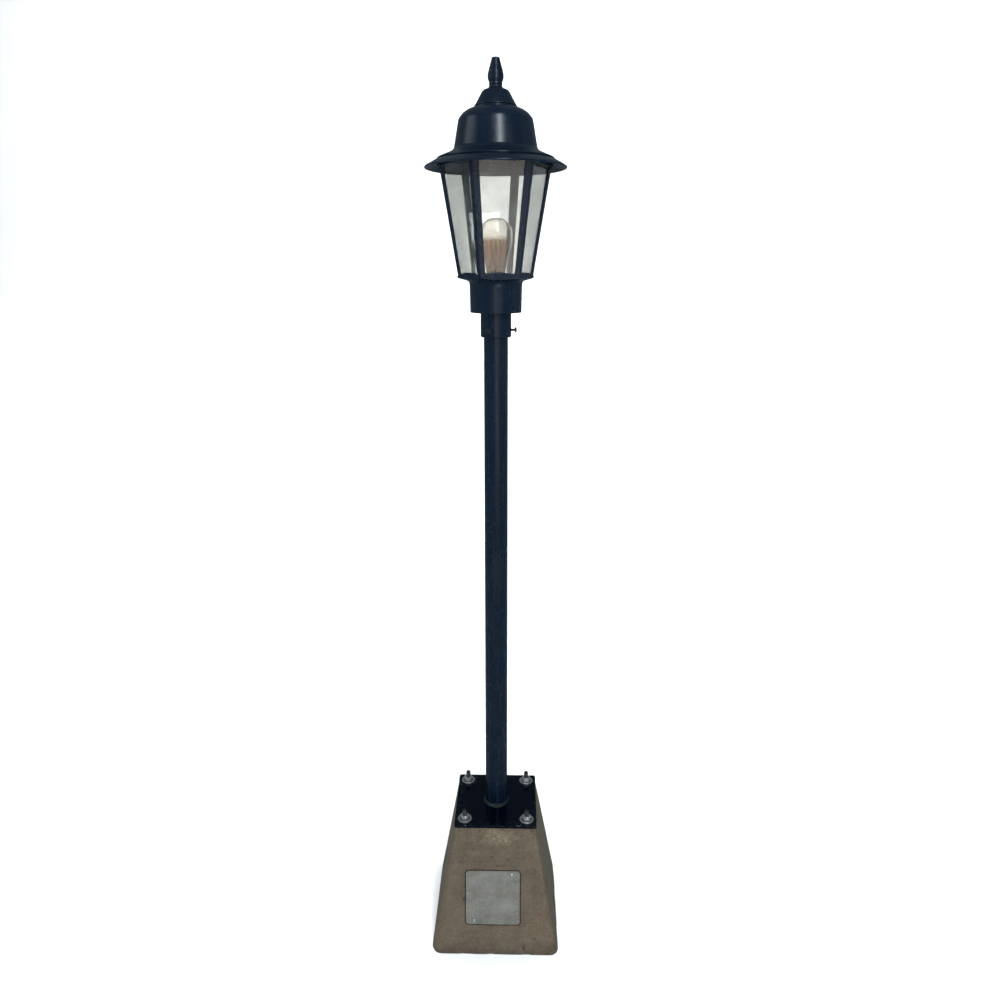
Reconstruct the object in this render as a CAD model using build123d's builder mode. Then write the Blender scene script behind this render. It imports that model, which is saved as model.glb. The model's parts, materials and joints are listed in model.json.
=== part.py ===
# Hexagonal garden post lantern on a round steel post, bolted to a tapered concrete block.
#
# Frame: millimetres, +Z up, origin on the ground at the centre of the block's underside.
# The front of the block (the face with the junction box cover) looks towards -Y.
from build123d import *
import os
from math import cos, sin, tan, atan2, radians, degrees, sqrt, pi

os.makedirs("parts", exist_ok=True)

# ------------------------------------------------------------------ driving dimensions
# concrete block
BLOCK_BASE = 280.0        # square underside
BLOCK_TOP = 180.0         # square top
BLOCK_H = 280.0
BLOCK_BASE_CORNER = 15.0
BLOCK_TOP_CORNER = 8.0
DUCT_R = 22.0             # cast cable duct up the middle, its lower end wide enough for a conduit
DUCT_SOCKET_H = 90.0      # the conduit stops on a step at this height
DUCT_UPPER_R = 19.0
BRANCH_R = 14.0           # side duct from the junction box

# base plate and anchors
PLATE = 180.0
PLATE_T = 6.0
PLATE_CORNER = 5.0
STUD_PITCH = 136.0
STUD_R = 5.0              # M10
STUD_FOOT_Z = 195.0       # centreline of the hooked foot
STUD_TIP_Z = 311.0
WASHER_R = 15.0
WASHER_T = 2.5
NUT_AF = 17.0
NUT_H = 8.4

# post
POST_R = 24.15            # 48.3 mm tube
POST_WALL = 2.9
PLATE_TOP_Z = BLOCK_H + PLATE_T
POST_TOP_Z = 1398.0

# junction box in the front face
COVER_U, COVER_V = -5.0, 128.6    # centre of the cover on the sloping face
COVER_W, COVER_H, COVER_T = 118.0, 120.0, 2.0
COVER_CORNER = 7.5
RECESS = 1.5
RECESS_GAP = 1.6
BOX_W, BOX_H, BOX_D, BOX_WALL = 112.0, 116.0, 60.0, 2.5
SCREW_U, SCREW_V = 41.0, 52.0     # cover screws, on one diagonal

# lantern head
HEAD_YAW = 8.6            # the head stands turned a little on its post
SOCKET_Z0, SOCKET_Z1 = 1335.0, 1404.0
SOCKET_R = 30.5
SOCKET_BORE = 24.25
SET_SCREW_Z = 1348.6
SET_SCREW_R = 2.5         # M5
SET_SCREW_L = 12.0
SET_SCREW_TIP = 24.45
NECK_Z0 = 1383.0
NECK_R0, NECK_R1 = 50.5, 51.5
NECK_BORE = 47.5
FLANGE_CORNER = 75.5      # across-corner radius of the hexagonal flange
CAGE_Z0, CAGE_Z1 = 1451.0, 1664.0
CAGE_FOOT_Z = 1455.0      # floor on which the panes stand
BAR_T = 2.4
GLASS_T = 3.0
RING_Z0, RING_Z1 = 1656.0, 1666.0

# lampholder and bulb
HOLDER_Z0 = 1406.0
HOLDER_R = 19.5
BULB_CAP_Z = 1447.0       # top of the screw cap
BULB_TOP_Z = 1562.0

# roof
ROOF_STUD_R = 3.0         # M6
FINIAL_Z = 1797.2

ALPHA = degrees(atan2((BLOCK_BASE - BLOCK_TOP) / 2, BLOCK_H))    # slope of the block's faces
SA, CA = sin(radians(ALPHA)), cos(radians(ALPHA))


def face_point(u, v, w):
    """Point on the block's front face: u across, v up the slope, w out along its normal."""
    return (u, -BLOCK_BASE / 2 + v * SA - w * CA, v * CA + w * SA)


def face_plane(u, v, w=0.0):
    return Plane(origin=face_point(u, v, w), x_dir=(1, 0, 0), z_dir=(0, -CA, SA))


def head_plane(z, turn=0.0):
    """Horizontal plane at height z, its x axis on a corner of the lantern's hexagon."""
    a = radians(HEAD_YAW + turn)
    return Plane(origin=(0, 0, z), x_dir=(cos(a), sin(a), 0), z_dir=(0, 0, 1))


def head_side(turn=0.0):
    """Upright plane through the axis, x outwards and y up, for profiles."""
    a = radians(HEAD_YAW + turn)
    return Plane(origin=(0, 0, 0), x_dir=(cos(a), sin(a), 0), z_dir=(sin(a), -cos(a), 0))


def corner_r(z):
    """Outer corner radius of the glazed cage at height z."""
    return 74.8 + 0.16474 * (z - 1456.1)


def save(part, name):
    part.label = name
    export_step(part, f"parts/{name}.step")


STUDS = [(x * STUD_PITCH / 2, y * STUD_PITCH / 2) for x in (-1, 1) for y in (-1, 1)]

# ================================================================== the base
# four hooked anchor studs cast into the block
with BuildPart() as anchor_studs:
    for sx, sy in STUDS:
        inward = -1 if sy > 0 else 1
        with BuildLine() as stud_line:
            FilletPolyline((sx, sy + inward * 34, STUD_FOOT_Z), (sx, sy, STUD_FOOT_Z),
                           (sx, sy, STUD_TIP_Z), radius=15)
        with BuildSketch(Plane(origin=(sx, sy + inward * 34, STUD_FOOT_Z), x_dir=(1, 0, 0),
                               z_dir=(0, -inward, 0))):
            Circle(STUD_R)
        sweep(path=stud_line.wires()[0])
    chamfer(anchor_studs.faces().filter_by(Axis.Z).group_by(Axis.Z)[-1].edges(), length=1.4)

# junction box: open steel box with two screw lugs on one diagonal, cast into the front face
BOX_PLANE = face_plane(COVER_U, COVER_V, -RECESS)
BOX_BACK = face_plane(COVER_U, COVER_V, -RECESS - BOX_D)
with BuildPart() as junction_box:
    with BuildSketch(BOX_BACK):
        RectangleRounded(BOX_W, BOX_H, 5)
    extrude(amount=BOX_D)
    with BuildSketch(BOX_PLANE):
        RectangleRounded(BOX_W - 2 * BOX_WALL, BOX_H - 2 * BOX_WALL, 3)
    extrude(amount=-(BOX_D - BOX_WALL), mode=Mode.SUBTRACT)
    with BuildSketch(BOX_PLANE):
        with Locations((SCREW_U, BOX_H / 2 - BOX_WALL - 4.6), (-SCREW_U, -(BOX_H / 2 - BOX_WALL - 4.6))):
            Rectangle(12, 9.6)
    extrude(amount=-20)
    with BuildSketch(BOX_PLANE):
        with Locations((SCREW_U, SCREW_V), (-SCREW_U, -SCREW_V)):
            Circle(2.55)
    extrude(amount=-18, mode=Mode.SUBTRACT)
    # cable entry in the back wall, in line with the side duct
    with BuildSketch(BOX_BACK):
        with Locations((-COVER_U, 0)):
            Circle(BRANCH_R)
    extrude(amount=BOX_WALL, mode=Mode.SUBTRACT)

with BuildPart() as concrete_block:
    with BuildSketch(Plane.XY):
        RectangleRounded(BLOCK_BASE, BLOCK_BASE, BLOCK_BASE_CORNER)
    with BuildSketch(Plane.XY.offset(BLOCK_H)):
        RectangleRounded(BLOCK_TOP, BLOCK_TOP, BLOCK_TOP_CORNER)
    loft(ruled=True)
    with BuildSketch(Plane.XY):
        Circle(DUCT_R)
    extrude(amount=DUCT_SOCKET_H, mode=Mode.SUBTRACT)
    with BuildSketch(Plane.XY):
        Circle(DUCT_UPPER_R)
    extrude(amount=BLOCK_H, mode=Mode.SUBTRACT)
    # shallow recess for the cover, pocket for the box, side duct to the middle
    with BuildSketch(face_plane(COVER_U, COVER_V, 10)):
        RectangleRounded(COVER_W + 2 * RECESS_GAP, COVER_H + 2 * RECESS_GAP, COVER_CORNER + RECESS_GAP)
    extrude(amount=-(10 + RECESS), mode=Mode.SUBTRACT)
    with BuildSketch(BOX_PLANE):
        RectangleRounded(BOX_W, BOX_H, 5)
    extrude(amount=-BOX_D, mode=Mode.SUBTRACT)
    with BuildSketch(face_plane(0, COVER_V, -RECESS - BOX_D)):
        Circle(BRANCH_R)
    extrude(amount=-52, mode=Mode.SUBTRACT)
    add(anchor_studs.part, mode=Mode.SUBTRACT)

with BuildPart() as base_plate:
    with BuildSketch(Plane.XY.offset(BLOCK_H)):
        RectangleRounded(PLATE, PLATE, PLATE_CORNER)
        Circle(POST_R - POST_WALL, mode=Mode.SUBTRACT)
        with GridLocations(STUD_PITCH, STUD_PITCH, 2, 2):
            Circle(STUD_R + 0.5, mode=Mode.SUBTRACT)
    extrude(amount=PLATE_T)
    chamfer(base_plate.faces().sort_by(Axis.Z)[-1].outer_wire().edges(), length=0.6)

with BuildPart() as anchor_washers:
    with BuildSketch(Plane.XY.offset(PLATE_TOP_Z)):
        with GridLocations(STUD_PITCH, STUD_PITCH, 2, 2):
            Circle(WASHER_R)
        with GridLocations(STUD_PITCH, STUD_PITCH, 2, 2):
            Circle(STUD_R + 0.25, mode=Mode.SUBTRACT)
    extrude(amount=WASHER_T)

NUT_Z = PLATE_TOP_Z + WASHER_T
NUT_CORNER = NUT_AF / sqrt(3)
with BuildPart() as anchor_nuts:
    with BuildSketch(Plane.XY.offset(NUT_Z)):
        with GridLocations(STUD_PITCH, STUD_PITCH, 2, 2):
            RegularPolygon(NUT_CORNER, 6)
    extrude(amount=NUT_H)
    # the corners of each nut are rounded off by a turned cone, top and bottom
    with BuildSketch(Plane.XY.offset(NUT_Z)):
        with GridLocations(STUD_PITCH, STUD_PITCH, 2, 2):
            Circle(NUT_AF / 2 - 0.4)
    extrude(amount=NUT_H * 2, taper=-40, mode=Mode.INTERSECT)
    with BuildSketch(Plane.XY.offset(NUT_Z + NUT_H)):
        with GridLocations(STUD_PITCH, STUD_PITCH, 2, 2):
            Circle(NUT_AF / 2 - 0.4)
    extrude(amount=-NUT_H * 2, taper=-40, mode=Mode.INTERSECT)
    with BuildSketch(Plane.XY.offset(NUT_Z)):
        with GridLocations(STUD_PITCH, STUD_PITCH, 2, 2):
            Circle(STUD_R)
    extrude(amount=NUT_H, mode=Mode.SUBTRACT)

# post: one tube with the fillet weld that joins it to the plate
with BuildPart() as post_tube:
    with BuildSketch(Plane.XZ):
        with BuildLine():
            Polyline((POST_R - POST_WALL, PLATE_TOP_Z), (POST_R + 5.0, PLATE_TOP_Z),
                     (POST_R + 2.2, PLATE_TOP_Z + 2.4), (POST_R, PLATE_TOP_Z + 5.5),
                     (POST_R, POST_TOP_Z), (POST_R - POST_WALL, POST_TOP_Z), close=True)
        make_face()
    revolve(axis=Axis.Z)

# terminal block on the box's back wall, and its three clamp screws
TB_U, TB_V0, TB_V1 = 22.0, COVER_V - 49.0, COVER_V - 32.0
TB_W0, TB_W1 = -RECESS - BOX_D + BOX_WALL, -36.0
with BuildPart() as terminal_block:
    with BuildSketch(face_plane(0, (TB_V0 + TB_V1) / 2, TB_W0)):
        Rectangle(2 * TB_U, TB_V1 - TB_V0)
    extrude(amount=TB_W1 - TB_W0)
    with BuildSketch(face_plane(0, (TB_V0 + TB_V1) / 2, TB_W1)):
        with GridLocations(14, 0, 3, 1):
            Circle(3.0)
    extrude(amount=-8, mode=Mode.SUBTRACT)
    with BuildSketch(face_plane(0, (TB_V0 + TB_V1) / 2, TB_W1)):
        with GridLocations(14, 0, 2, 1):
            Rectangle(1.2, TB_V1 - TB_V0)
    extrude(amount=-4, mode=Mode.SUBTRACT)

with BuildPart() as terminal_screws:
    with BuildSketch(face_plane(0, (TB_V0 + TB_V1) / 2, TB_W1 - 8)):
        with GridLocations(14, 0, 3, 1):
            Circle(2.9)
    extrude(amount=5.5)
    with BuildSketch(face_plane(0, (TB_V0 + TB_V1) / 2, TB_W1 - 2.5)):
        with GridLocations(14, 0, 3, 1):
            Rectangle(7, 0.8)
    extrude(amount=-1.2, mode=Mode.SUBTRACT)

# lamp lead: from the terminal block, through the side duct, up the post to the lampholder
LEAD_R = 3.5
LEAD_W = -46.0
lead_points = [
    face_point(0, TB_V1, LEAD_W),
    face_point(0, COVER_V, LEAD_W),
    face_point(0, COVER_V, -111.0),
    (0, 9.0, 119.0),
    (0, 0.0, 180.0),
    (0, 0.0, 1411.0),
]
lead_radii = []
for a, b, c in zip(lead_points, lead_points[1:], lead_points[2:]):
    run_in, run_out = Vector(*b) - Vector(*a), Vector(*c) - Vector(*b)
    lead_radii.append(min(0.45 * min(run_in.length, run_out.length)
                          / tan(radians(run_in.get_angle(run_out)) / 2), 250.0))
print("lamp lead bend radii:", [round(r, 1) for r in lead_radii])
with BuildPart() as lamp_lead:
    with BuildLine() as lead_line:
        FilletPolyline(*lead_points, radius=lead_radii)
    with BuildSketch(Plane(origin=lead_points[0], x_dir=(1, 0, 0), z_dir=(0, SA, CA))):
        Circle(LEAD_R)
    sweep(path=lead_line.wires()[0])
print("lamp lead volume / (section x length):",
      round(lamp_lead.part.volume / (pi * LEAD_R ** 2 * lead_line.wires()[0].length), 4))

# box cover and its two pan-head screws
with BuildPart() as cover_plate:
    with BuildSketch(BOX_PLANE):
        RectangleRounded(COVER_W, COVER_H, COVER_CORNER)
        with Locations((SCREW_U, SCREW_V), (-SCREW_U, -SCREW_V)):
            Circle(2.8, mode=Mode.SUBTRACT)
    extrude(amount=COVER_T)
    chamfer(cover_plate.faces().sort_by(Axis.Y)[0].outer_wire().edges(), length=0.4)

for screw_name, side in (("cover_screw_upper", 1), ("cover_screw_lower", -1)):
    screw_plane = face_plane(COVER_U + side * SCREW_U, COVER_V + side * SCREW_V, COVER_T - RECESS)
    with BuildPart() as cover_screw:
        with BuildSketch(screw_plane):
            Circle(4.8)
        extrude(amount=3.0)
        fillet(cover_screw.faces().sort_by(Axis((0, 0, 0), (0, -CA, SA)))[-1].edges(), radius=2.2)
        with BuildSketch(screw_plane):
            Circle(2.5)
        extrude(amount=-16)
        # slot in the head
        with BuildSketch(screw_plane.offset(3.0)):
            Rectangle(10, 1.0, rotation=25)
        extrude(amount=-1.3, mode=Mode.SUBTRACT)
    save(cover_screw.part, screw_name)

# ================================================================== the lantern head
# socket that drops over the post, with a shoulder that rests on the tube's end
with BuildPart() as post_socket:
    with BuildSketch(head_side()):
        with BuildLine():
            Polyline((SOCKET_BORE, SOCKET_Z0), (SOCKET_R - 1.6, SOCKET_Z0), (SOCKET_R, SOCKET_Z0 + 1.6),
                     (SOCKET_R, SOCKET_Z1), (18.0, SOCKET_Z1), (18.0, POST_TOP_Z),
                     (SOCKET_BORE, POST_TOP_Z), close=True)
        make_face()
    revolve(axis=Axis.Z)
    for k in range(3):
        with BuildSketch(Plane(origin=(0, 0, SET_SCREW_Z),
                               x_dir=(-sin(radians(HEAD_YAW + 120 * k)), cos(radians(HEAD_YAW + 120 * k)), 0),
                               z_dir=(cos(radians(HEAD_YAW + 120 * k)), sin(radians(HEAD_YAW + 120 * k)), 0))):
            Circle(SET_SCREW_R + 0.05)
        extrude(amount=40, mode=Mode.SUBTRACT)
    with BuildSketch(head_plane(SOCKET_Z1, 90)):
        with GridLocations(48.5, 0, 2, 1):
            Circle(1.65)
    extrude(amount=-5.4, mode=Mode.SUBTRACT)

# three M5 set screws at 120 degrees; the first one is backed off a little
for k, backed_off in enumerate((1.5, 0.0, 0.0)):
    a = radians(HEAD_YAW + 120 * k)
    tip = SET_SCREW_TIP + backed_off
    screw_base = Plane(origin=(cos(a) * tip, sin(a) * tip, SET_SCREW_Z),
                       x_dir=(-sin(a), cos(a), 0), z_dir=(cos(a), sin(a), 0))
    with BuildPart() as set_screw:
        with BuildSketch(screw_base):
            Circle(SET_SCREW_R)
        extrude(amount=SET_SCREW_L)
        with BuildSketch(screw_base.offset(SET_SCREW_L)):
            Circle(5.4)
        extrude(amount=3.8)
        fillet(set_screw.faces().sort_by(Axis((0, 0, 0), (cos(a), sin(a), 0)))[-1].edges(), radius=1.0)
        with BuildSketch(screw_base.offset(SET_SCREW_L + 3.8)):
            Rectangle(12, 1.2, rotation=35)
        extrude(amount=-1.6, mode=Mode.SUBTRACT)
    save(set_screw.part, f"set_screw_{k + 1}")

# cage bars: folded strips on the six corners, leaning outwards with the glass
cage_bars = []
for k in range(6):
    with BuildPart() as cage_bar:
        for z, w in ((CAGE_Z0, 9.4), (CAGE_Z1, 12.2)):
            r = corner_r(z)
            c60, s60 = cos(radians(60)), sin(radians(60))
            c30, s30 = cos(radians(30)), sin(radians(30))
            with BuildSketch(head_plane(z, 60 * k)):
                with BuildLine():
                    Polyline((r, 0), (r - w * c60, w * s60),
                             (r - w * c60 - BAR_T * c30, w * s60 - BAR_T * s30),
                             (r - BAR_T / c30, 0),
                             (r - w * c60 - BAR_T * c30, -w * s60 + BAR_T * s30),
                             (r - w * c60, -w * s60), close=True)
                make_face()
        loft(ruled=True)
    cage_bars.append(cage_bar.part)
    save(cage_bar.part, f"cage_bar_{k + 1}")

# lantern base: round neck that swells into a hexagonal flange; the flange is turned to a cone
# above and below, so each flat ends in a shallow arch
with BuildPart() as lantern_base:
    with BuildSketch(head_plane(1436.0)):
        RegularPolygon(FLANGE_CORNER, 6)
    extrude(amount=30)
    with BuildSketch(head_side()):
        with BuildLine():
            Polyline((0, 1436), (NECK_R1, 1436), (52.4, 1441.0), (55.5, 1444.0), (65.4, 1446.8),
                     (77.0, 1450.2), (77.0, 1452.6), (65.4, 1459.2), (60.0, 1462.2), (0, 1462.2), close=True)
        make_face()
    revolve(axis=Axis.Z, mode=Mode.INTERSECT)
    with BuildSketch(head_side()):
        with BuildLine():
            Polyline((0, NECK_Z0), (NECK_R0 - 0.8, NECK_Z0), (NECK_R0, NECK_Z0 + 0.8),
                     (NECK_R1, 1432.0), (NECK_R1, 1434.0), (NECK_R1 + 0.35, 1434.6), (NECK_R1 + 0.35, 1436.0),
                     (NECK_R1, 1436.6), (NECK_R1, 1438.0), (0, 1438.0), close=True)
        make_face()
    revolve(axis=Axis.Z)
    # hollow neck, floor hole for the socket, hexagonal seat for the panes
    with BuildSketch(Plane.XY.offset(NECK_Z0 + 3.5)):
        Circle(NECK_BORE)
    extrude(amount=100, mode=Mode.SUBTRACT)
    with BuildSketch(Plane.XY.offset(NECK_Z0 - 1)):
        Circle(SOCKET_R)
    extrude(amount=10, mode=Mode.SUBTRACT)
    with BuildSketch(head_plane(CAGE_FOOT_Z)):
        RegularPolygon(73.3, 6)
    extrude(amount=20, mode=Mode.SUBTRACT)
    for bar in cage_bars:
        add(bar, mode=Mode.SUBTRACT)

# upper ring: hexagonal angle section around the bars' tops
with BuildPart() as upper_ring:
    with BuildSketch(head_plane(RING_Z0)):
        RegularPolygon(111.4, 6)
        RegularPolygon(109.2, 6, mode=Mode.SUBTRACT)
    extrude(amount=RING_Z1 - RING_Z0)
    with BuildSketch(head_plane(CAGE_Z1)):
        RegularPolygon(110.0, 6)
        RegularPolygon(92.5, 6, mode=Mode.SUBTRACT)
    extrude(amount=RING_Z1 - CAGE_Z1)

# glass panes: six leaning trapezoids standing in the flange and capped by the ring
LEAN = atan2(0.16474 * cos(radians(30)), 1.0)
for k in range(6):
    n_ang = radians(HEAD_YAW + 30 + 60 * k)
    ca, sa = cos(n_ang), sin(n_ang)
    z_lo, z_hi = CAGE_FOOT_Z + 0.5, CAGE_Z1 - 0.3

    def apothem(z):
        return corner_r(z) * cos(radians(30)) - BAR_T - 0.25

    origin = (ca * apothem(z_lo), sa * apothem(z_lo), z_lo)
    pane_plane = Plane(origin=origin, x_dir=(-sa, ca, 0),
                       z_dir=(ca * cos(LEAN), sa * cos(LEAN), -sin(LEAN)))
    # half widths keep each pane clear of its neighbours' inner corners
    half_lo = (apothem(z_lo) - GLASS_T) * tan(radians(30)) - 0.6
    half_hi = (apothem(z_hi) - GLASS_T) * tan(radians(30)) - 0.6
    height = (z_hi - z_lo) / cos(LEAN) - 0.9
    with BuildPart() as glass_pane:
        with BuildSketch(pane_plane):
            with BuildLine():
                Polyline((-half_lo, 0.45), (half_lo, 0.45), (half_hi, height), (-half_hi, height), close=True)
            make_face()
        extrude(amount=-GLASS_T)
    save(glass_pane.part, f"glass_pane_{k + 1}")

# holder plate on the socket's shoulder, with its two screws
with BuildPart() as holder_plate:
    with BuildSketch(head_plane(SOCKET_Z1, 90)):
        Circle(40)
        Circle(6, mode=Mode.SUBTRACT)
        with GridLocations(48.5, 0, 2, 1):
            Circle(1.9, mode=Mode.SUBTRACT)
    extrude(amount=HOLDER_Z0 - SOCKET_Z1)

with BuildPart() as holder_screws:
    with BuildSketch(head_plane(SOCKET_Z1 - 5, 90)):
        with GridLocations(48.5, 0, 2, 1):
            Circle(1.6)
    extrude(amount=HOLDER_Z0 - SOCKET_Z1 + 5)
    with BuildSketch(head_plane(HOLDER_Z0, 90)):
        with GridLocations(48.5, 0, 2, 1):
            Circle(3.4)
    extrude(amount=2.2)

# porcelain lampholder, its screw shell and centre contact
with BuildPart() as lampholder_body:
    with BuildSketch(head_side()):
        with BuildLine():
            Polyline((9.0, HOLDER_Z0), (HOLDER_R, HOLDER_Z0), (HOLDER_R, 1449.0), (HOLDER_R - 1.5, 1450.5),
                     (15.5, 1450.5), (14.4, 1449.4), (14.4, 1421.0), (9.5, 1418.0), (9.5, 1420.0),
                     (3.0, 1420.0), (3.0, 1414.5), (9.0, 1414.5), close=True)
        make_face()
    revolve(axis=Axis.Z)

with BuildPart() as lampholder_shell:
    with BuildSketch(head_plane(1424.0)):
        Circle(14.4)
        Circle(13.5, mode=Mode.SUBTRACT)
    extrude(amount=24.0)

with BuildPart() as lampholder_contact:
    with BuildSketch(head_side()):
        with BuildLine():
            Polyline((-6.5, 1420.0), (6.5, 1420.0), (6.5, 1420.8), (1.0, 1420.8), (-4.6, 1422.4),
                     (-4.6, 1421.6), (-1.5, 1420.8), (-6.5, 1420.8), close=True)
        make_face()
    extrude(amount=2.0, both=True)

# bulb: screw cap, insulator, tip, envelope, stem, filaments and their wire rings
with BuildPart() as bulb_cap:
    with BuildSketch(head_side()):
        with BuildLine():
            Polyline((12.4, BULB_CAP_Z), (13.1, BULB_CAP_Z), (13.1, 1428.2), (12.2, 1426.4),
                     (11.4, 1426.4), (12.4, 1428.6), close=True)
        make_face()
    revolve(axis=Axis.Z)

with BuildPart() as bulb_insulator:
    with BuildSketch(head_side()):
        with BuildLine():
            Polyline((0, 1429.0), (0, 1424.4), (4.8, 1424.4), (6.4, 1424.0), (11.3, 1426.4),
                     (11.3, 1427.2), (9.0, 1429.0), close=True)
        make_face()
    revolve(axis=Axis.Z)

with BuildPart() as bulb_contact:
    with BuildSketch(head_side()):
        with BuildLine():
            Polyline((0, 1422.8), (2.6, 1422.9), (4.2, 1423.5), (4.7, 1424.4), (0, 1424.4), close=True)
        make_face()
    revolve(axis=Axis.Z)

with BuildPart() as bulb_glass:
    with BuildSketch(head_side()):
        with BuildLine():
            neck = Line((12.35, 1441.0), (12.35, 1447.6))
            cone = Spline((12.35, 1447.6), (14.6, 1452.0), (18.4, 1464.0), (23.6, 1484.0), (28.9, 1506.0), (32.0, 1529.5),
                          tangents=((0, 1), (0, 1)))
            dome = Spline((32.0, 1529.5), (28.2, 1547.0), (17.0, 1558.8), (0, BULB_TOP_Z),
                          tangents=((0, 1), (-1, 0)))
            tip = Line((0, BULB_TOP_Z), (0, BULB_TOP_Z - 1.0))
            dome_in = Spline((0, BULB_TOP_Z - 1.0), (16.4, 1557.9), (27.3, 1546.5), (31.0, 1529.5),
                             tangents=((1, 0), (0, -1)))
            cone_in = Spline((31.0, 1529.5), (27.9, 1506.2), (22.6, 1484.3), (17.4, 1464.3), (13.6, 1452.5), (11.35, 1447.6),
                             tangents=((0, -1), (0, -1)))
            neck_in = Line((11.35, 1447.6), (11.35, 1441.0))
            foot = Line((11.35, 1441.0), (12.35, 1441.0))
        make_face()
    revolve(axis=Axis.Z)

with BuildPart() as bulb_stem:
    with BuildSketch(head_side()):
        with BuildLine():
            Polyline((0, 1442.0), (11.2, 1442.0), (11.2, 1443.2), (7.0, 1447.0), (4.6, 1454.0), (3.6, 1464.0),
                     (2.2, 1468.0), (2.2, 1512.0), (1.4, 1514.0), (0, 1514.0), close=True)
        make_face()
    revolve(axis=Axis.Z)

FIL_N = 6
FIL_LO, FIL_HI = (6.2, 1477.0), (12.8, 1519.0)
with BuildPart() as bulb_filaments:
    for k in range(FIL_N):
        a0 = radians(HEAD_YAW + 15 + 360 / FIL_N * k)
        a1 = a0 + radians(18)
        p0 = Vector(FIL_LO[0] * cos(a0), FIL_LO[0] * sin(a0), FIL_LO[1])
        p1 = Vector(FIL_HI[0] * cos(a1), FIL_HI[0] * sin(a1), FIL_HI[1])
        with BuildSketch(Plane(origin=p0, z_dir=p1 - p0)):
            Circle(0.95)
        extrude(amount=(p1 - p0).length)

with BuildPart() as bulb_wires:
    for ring_r, ring_z in ((FIL_LO[0], FIL_LO[1] - 1.9), (FIL_HI[0], FIL_HI[1] + 1.9)):
        with BuildSketch(head_side()):
            with Locations((ring_r, ring_z)):
                Circle(0.45)
        revolve(axis=Axis.Z)
    # spokes tie each ring to the stem
    for k in range(2):
        with BuildSketch(head_side(90 * k)):
            with BuildLine():
                Polyline((2.0, 1474.8), (FIL_LO[0], 1474.8), (FIL_LO[0], 1475.5), (2.0, 1475.5), close=True)
            make_face()
            with BuildLine():
                Polyline((2.0, 1510.8), (FIL_HI[0], 1520.5), (FIL_HI[0], 1521.3), (2.0, 1511.6), close=True)
            make_face()
        extrude(amount=0.35, both=True)
    with BuildSketch(Plane.XY.offset(1470.0)):
        Circle(2.2)
    extrude(amount=50, mode=Mode.SUBTRACT)

# ================================================================== the roof
# hat-shaped bridge across the ring, carrying the central stud
with BuildPart() as roof_bridge:
    with BuildSketch(head_side(30)):
        with BuildLine():
            Polyline((-94.0, RING_Z1), (-81.0, RING_Z1), (-60.0, 1690.0), (60.0, 1690.0), (81.0, RING_Z1),
                     (94.0, RING_Z1), (94.0, RING_Z1 + 2.5), (82.2, RING_Z1 + 2.5), (61.2, 1692.5),
                     (-61.2, 1692.5), (-82.2, RING_Z1 + 2.5), (-94.0, RING_Z1 + 2.5), close=True)
        make_face()
    extrude(amount=9, both=True)
    with BuildSketch(head_plane(1688.0)):
        Circle(ROOF_STUD_R + 0.2)
    extrude(amount=8, mode=Mode.SUBTRACT)

with BuildPart() as roof_stud:
    with BuildSketch(Plane.XY.offset(1682.5)):
        Circle(ROOF_STUD_R)
    extrude(amount=1815.0 - 1682.5)
    chamfer(roof_stud.faces().sort_by(Axis.Z)[-1].edges(), length=0.8)

with BuildPart() as stud_nuts:
    for z in (1685.0, 1692.5):
        with BuildSketch(head_plane(z)):
            RegularPolygon(10 / sqrt(3), 6)
            Circle(ROOF_STUD_R, mode=Mode.SUBTRACT)
        extrude(amount=5.0)

# hood: spun shell with a drum, a concave flare and a thin brim
with BuildPart() as roof_hood:
    with BuildSketch(head_side()):
        with BuildLine():
            l1 = Line((3.4, 1762.4), (38.0, 1762.4))
            s1 = Spline((38.0, 1762.4), (46.0, 1759.3), (54.0, 1755.2), (61.8, 1749.6), (67.2, 1743.4),
                        tangents=((1, -0.12), (0.62, -0.80)))
            s2 = Spline((67.2, 1743.4), (69.6, 1740.0), (70.9, 1735.8), tangents=((0.62, -0.80), (0.17, -1)))
            l2 = Line((70.9, 1735.8), (78.3, 1693.4))
            s3 = Spline((78.3, 1693.4), (79.9, 1687.4), (84.2, 1682.9), (91.0, 1679.4),
                        tangents=((0.17, -1), (1, -0.45)))
            s4 = Spline((91.0, 1679.4), (100.0, 1675.3), (108.6, 1670.9), tangents=((1, -0.45), (0.85, -0.53)))
            l3 = Line((108.6, 1670.9), (110.0, 1668.8))
            s5 = Spline((110.0, 1668.8), (123.0, 1663.0), (134.4, 1655.6), tangents=((1, -0.38), (0.8, -0.6)))
            edge = ThreePointArc((134.4, 1655.6), (135.7, 1653.4), (134.1, 1651.9))
            e2 = Line((134.1, 1651.9), (132.2, 1653.0))
            s6 = Spline((132.2, 1653.0), (123.0, 1660.2), (113.0, 1665.2), tangents=((-0.8, 0.6), (-1, 0.42)))
            l4 = Polyline((113.0, 1665.2), (112.2, 1666.0), (97.5, 1666.0), (97.0, 1672.2))
            s7 = Spline((97.0, 1672.2), (86.0, 1677.4), (79.0, 1681.6), (76.2, 1687.6),
                        tangents=((-1, 0.45), (-0.17, 1)))
            l5 = Line((76.2, 1687.6), (68.7, 1733.6))
            s8 = Spline((68.7, 1733.6), (65.2, 1741.2), (52.5, 1752.6), (38.0, 1760.0),
                        tangents=((-0.17, 1), (-1, 0.3)))
            l6 = Polyline((38.0, 1760.0), (3.4, 1760.0), (3.4, 1762.4))
        make_face()
    revolve(axis=Axis.Z)

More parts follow.
